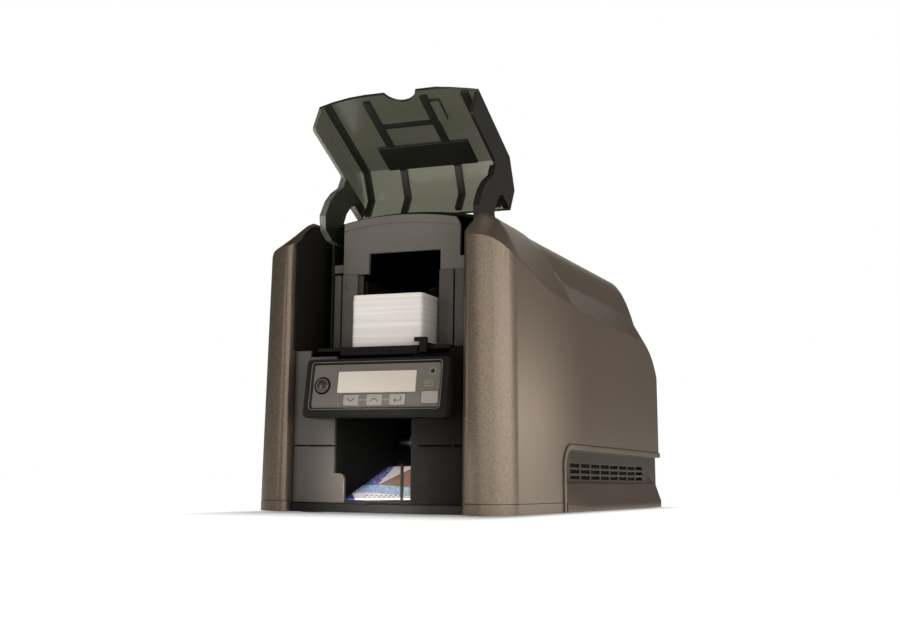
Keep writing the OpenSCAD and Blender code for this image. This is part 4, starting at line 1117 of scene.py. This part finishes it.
class CARDPRINTER_OT_studio(PieceOperator):
    """Pale floor, dim room, soft lights and the camera"""

    bl_idname = "card_printer.studio"
    bl_label = "Studio"

    def execute(self, context):
        self.floor()
        bpy.context.scene.view_settings.view_transform = "Standard"
        self.room()
        self.lights()
        self.camera()
        return {"FINISHED"}

    @staticmethod
    def floor():
        """Pale floor that glows a little less close to the printer's footprint, a painted contact
        shadow.
        """
        half_wide, half_long, reach, squeeze = 0.085, 0.20, 0.14, 4
        near, away = 0.30, 1.04
        bpy.ops.mesh.primitive_plane_add(size=9, location=(0, 1.5, -0.00002))
        floor = bpy.context.object
        floor.name = "studio_floor"
        settle(floor)
        f = Finish("studio_pale_painted_shadow")
        f.set(Roughness=0.9, Specular_IOR_Level=0.0, Emission_Color=(1.0, 0.985, 0.975, 1))
        n = f.noise(3, 2, 0.5)
        # distance from the footprint for the painted shadow, in which a step across counts four
        # times
        shadow_distance = f.coord.outputs["Object"]
        for kind, value in (("ABSOLUTE", None), ("SUBTRACT", (half_wide, half_long, 0)),
                            ("MAXIMUM", (0, 0, 0)), ("MULTIPLY", (squeeze, 1, 1)),
                            ("LENGTH", None)):
            step = f.t.nodes.new("ShaderNodeVectorMath")
            step.operation = kind
            f.link(shadow_distance, step.inputs[0])
            if value:
                step.inputs[1].default_value = value
            shadow_distance = step.outputs["Value" if kind == "LENGTH" else "Vector"]
        f.feed(
            Base_Color=f.mix(f.remap(n, 0, 1), (0.40, 0.385, 0.375), (0.42, 0.405, 0.395)),
            Emission_Strength=f.remap(shadow_distance, near, away, 0.0, reach),
        )
        floor.data.materials.append(f.m)

    @staticmethod
    def room():
        """World that is white to the camera and a dim room to everything else."""
        world = bpy.data.worlds.new("studio")
        bpy.context.scene.world = world
        world.use_nodes = True
        t = world.node_tree
        t.nodes.clear()

        def node(kind, *values):
            n = t.nodes.new(kind)
            for sock, v in zip(n.inputs, values):
                if hasattr(v, "links"):
                    t.links.new(v, sock)
                else:
                    sock.default_value = v
            return n

        # darker overhead and behind, soft at the front
        coord = node("ShaderNodeTexCoord")
        way = node("ShaderNodeSeparateXYZ", coord.outputs["Generated"])
        front = node("ShaderNodeMapRange", way.outputs[1], -0.9, 0.5, 0.17, 0.10)
        over = node("ShaderNodeMapRange", way.outputs[2], 0.25, 0.95, 1.0, 0.55)
        dim = node("ShaderNodeMath", front.outputs[0], over.outputs[0])
        dim.operation = "MULTIPLY"
        room = node("ShaderNodeBackground", (1.0, 0.97, 0.93, 1), dim.outputs[0])
        white = node("ShaderNodeBackground", (1.0, 1.0, 1.0, 1), 1.0)
        path = node("ShaderNodeLightPath")
        seen = node(
            "ShaderNodeMath", path.outputs["Is Camera Ray"], path.outputs["Is Transmission Ray"])
        seen.operation = "MAXIMUM"
        both = node("ShaderNodeMixShader", seen.outputs[0], room.outputs[0], white.outputs[0])
        node("ShaderNodeOutputWorld", both.outputs[0])

    @staticmethod
    def lights():
        """Wide soft lights, two narrow beams and a small light from behind."""
        warm, mild, amber = (1.0, 0.96, 0.92), (1.0, 0.98, 0.95), (1.0, 0.88, 0.77)
        wide = 180
        # name, place, aim, width, height, watts, colour and spread in degrees
        lamps = (
            ("corner_key", (1.28, -0.085, 0.26), (0.09, -0.19, 0.14), 1.55, 0.5, 10.4, warm, wide),
            ("wall_graze", (0.44, 1.00, 0.17), (0.095, -0.215, 0.09), 0.04, 0.30, 0.0014, amber, 4),
            ("left_beam", (-0.62, -1.10, 0.30), (-0.05, -0.20, 0.12), 0.25, 0.4, 1.2, warm, wide),
            ("front_panel", (0.95, -1.25, 0.25), (-0.07, -0.21, 0.12), 0.95, 0.8, 6.2, warm, wide),
            ("bay_beam", (0.02, -1.1, 0.07), (0.008, -0.16, 0.022), 0.04, 0.03, 0.048, mild, 7),
            ("crest_back", (-0.22, 1.30, 0.65), (0.08, -0.02, 0.18), 0.5, 0.3, 0.6, warm, wide),
            ("soft_top", (0.2, -0.2, 2.0), (0, 0, 0.1), 1.6, 1.6, 8, mild, wide),
        )
        for name, place, aim, w, h, watts, colour, spread in lamps:
            data = bpy.data.lights.new(name, "AREA")
            data.shape = "RECTANGLE"
            data.size, data.size_y = w, h
            data.energy = watts
            data.color = colour
            data.spread = math.radians(spread)
            lamp = bpy.data.objects.new(name, data)
            bpy.context.scene.collection.objects.link(lamp)
            lamp.location = place
            sight = Vector(aim) - Vector(place)
            lamp.rotation_euler = sight.to_track_quat("-Z", "Y").to_euler()

    @staticmethod
    def camera():
        """Low view from the front right."""
        heading, pitch, roll = 0.399269, 0.126580, 0.012419  # radians
        place = (0.384730, -0.990069, 0.023656)
        focal, picture_wide, sensor = 1275.016, 900, 36  # pixels, pixels and millimetres
        flat = math.cos(pitch)
        ahead = Vector((-math.sin(heading) * flat, math.cos(heading) * flat, math.sin(pitch)))
        right = Vector((math.cos(heading), math.sin(heading), 0))
        up = right.cross(ahead)
        across = math.cos(roll) * right + math.sin(roll) * up
        upward = -math.sin(roll) * right + math.cos(roll) * up
        m = Matrix.Identity(4)
        for i in range(3):
            m[i][0], m[i][1], m[i][2] = across[i], upward[i], -ahead[i]
        m.translation = place
        data = bpy.data.cameras.new("view")
        data.sensor_width = sensor
        data.lens = focal / picture_wide * sensor
        data.clip_start = 0.01
        cam = bpy.data.objects.new("view", data)
        bpy.context.scene.collection.objects.link(cam)
        cam.matrix_world = m
        bpy.context.scene.camera = cam


class CARDPRINTER_PT_panel(bpy.types.Panel):
    """Lists the pieces of the card printer"""

    bl_label = "Card printer"
    bl_idname = "CARDPRINTER_PT_panel"
    bl_space_type = "VIEW_3D"
    bl_region_type = "UI"
    bl_category = "Card printer"

    def draw(self, context):
        box = self.layout.column()
        for group in (context.scene.card_printer_colours, context.scene.card_printer_sizes):
            for prop in group.__annotations__:
                box.prop(group, prop)
        for op in PIECES:
            box.operator(op.bl_idname)


PIECES = [
    CARDPRINTER_OT_covers,
    CARDPRINTER_OT_middle_covers,
    CARDPRINTER_OT_hopper,
    CARDPRINTER_OT_cards,
    CARDPRINTER_OT_door,
    CARDPRINTER_OT_fascias,
    CARDPRINTER_OT_display,
    CARDPRINTER_OT_mechanism,
    CARDPRINTER_OT_rear,
    CARDPRINTER_OT_studio,
]
CLASSES = [CardPrinterColours, CardPrinterSizes, *PIECES, CARDPRINTER_PT_panel]


def register():
    for c in CLASSES:
        bpy.utils.register_class(c)
    bpy.types.Scene.card_printer_colours = bpy.props.PointerProperty(type=CardPrinterColours)
    bpy.types.Scene.card_printer_sizes = bpy.props.PointerProperty(type=CardPrinterSizes)


def unregister():
    del bpy.types.Scene.card_printer_sizes
    del bpy.types.Scene.card_printer_colours
    for c in reversed(CLASSES):
        bpy.utils.unregister_class(c)


def main():
    register()
    for c in PIECES:
        group, name = c.bl_idname.split(".")
        getattr(getattr(bpy.ops, group), name)()


if __name__ == "__main__":
    main()
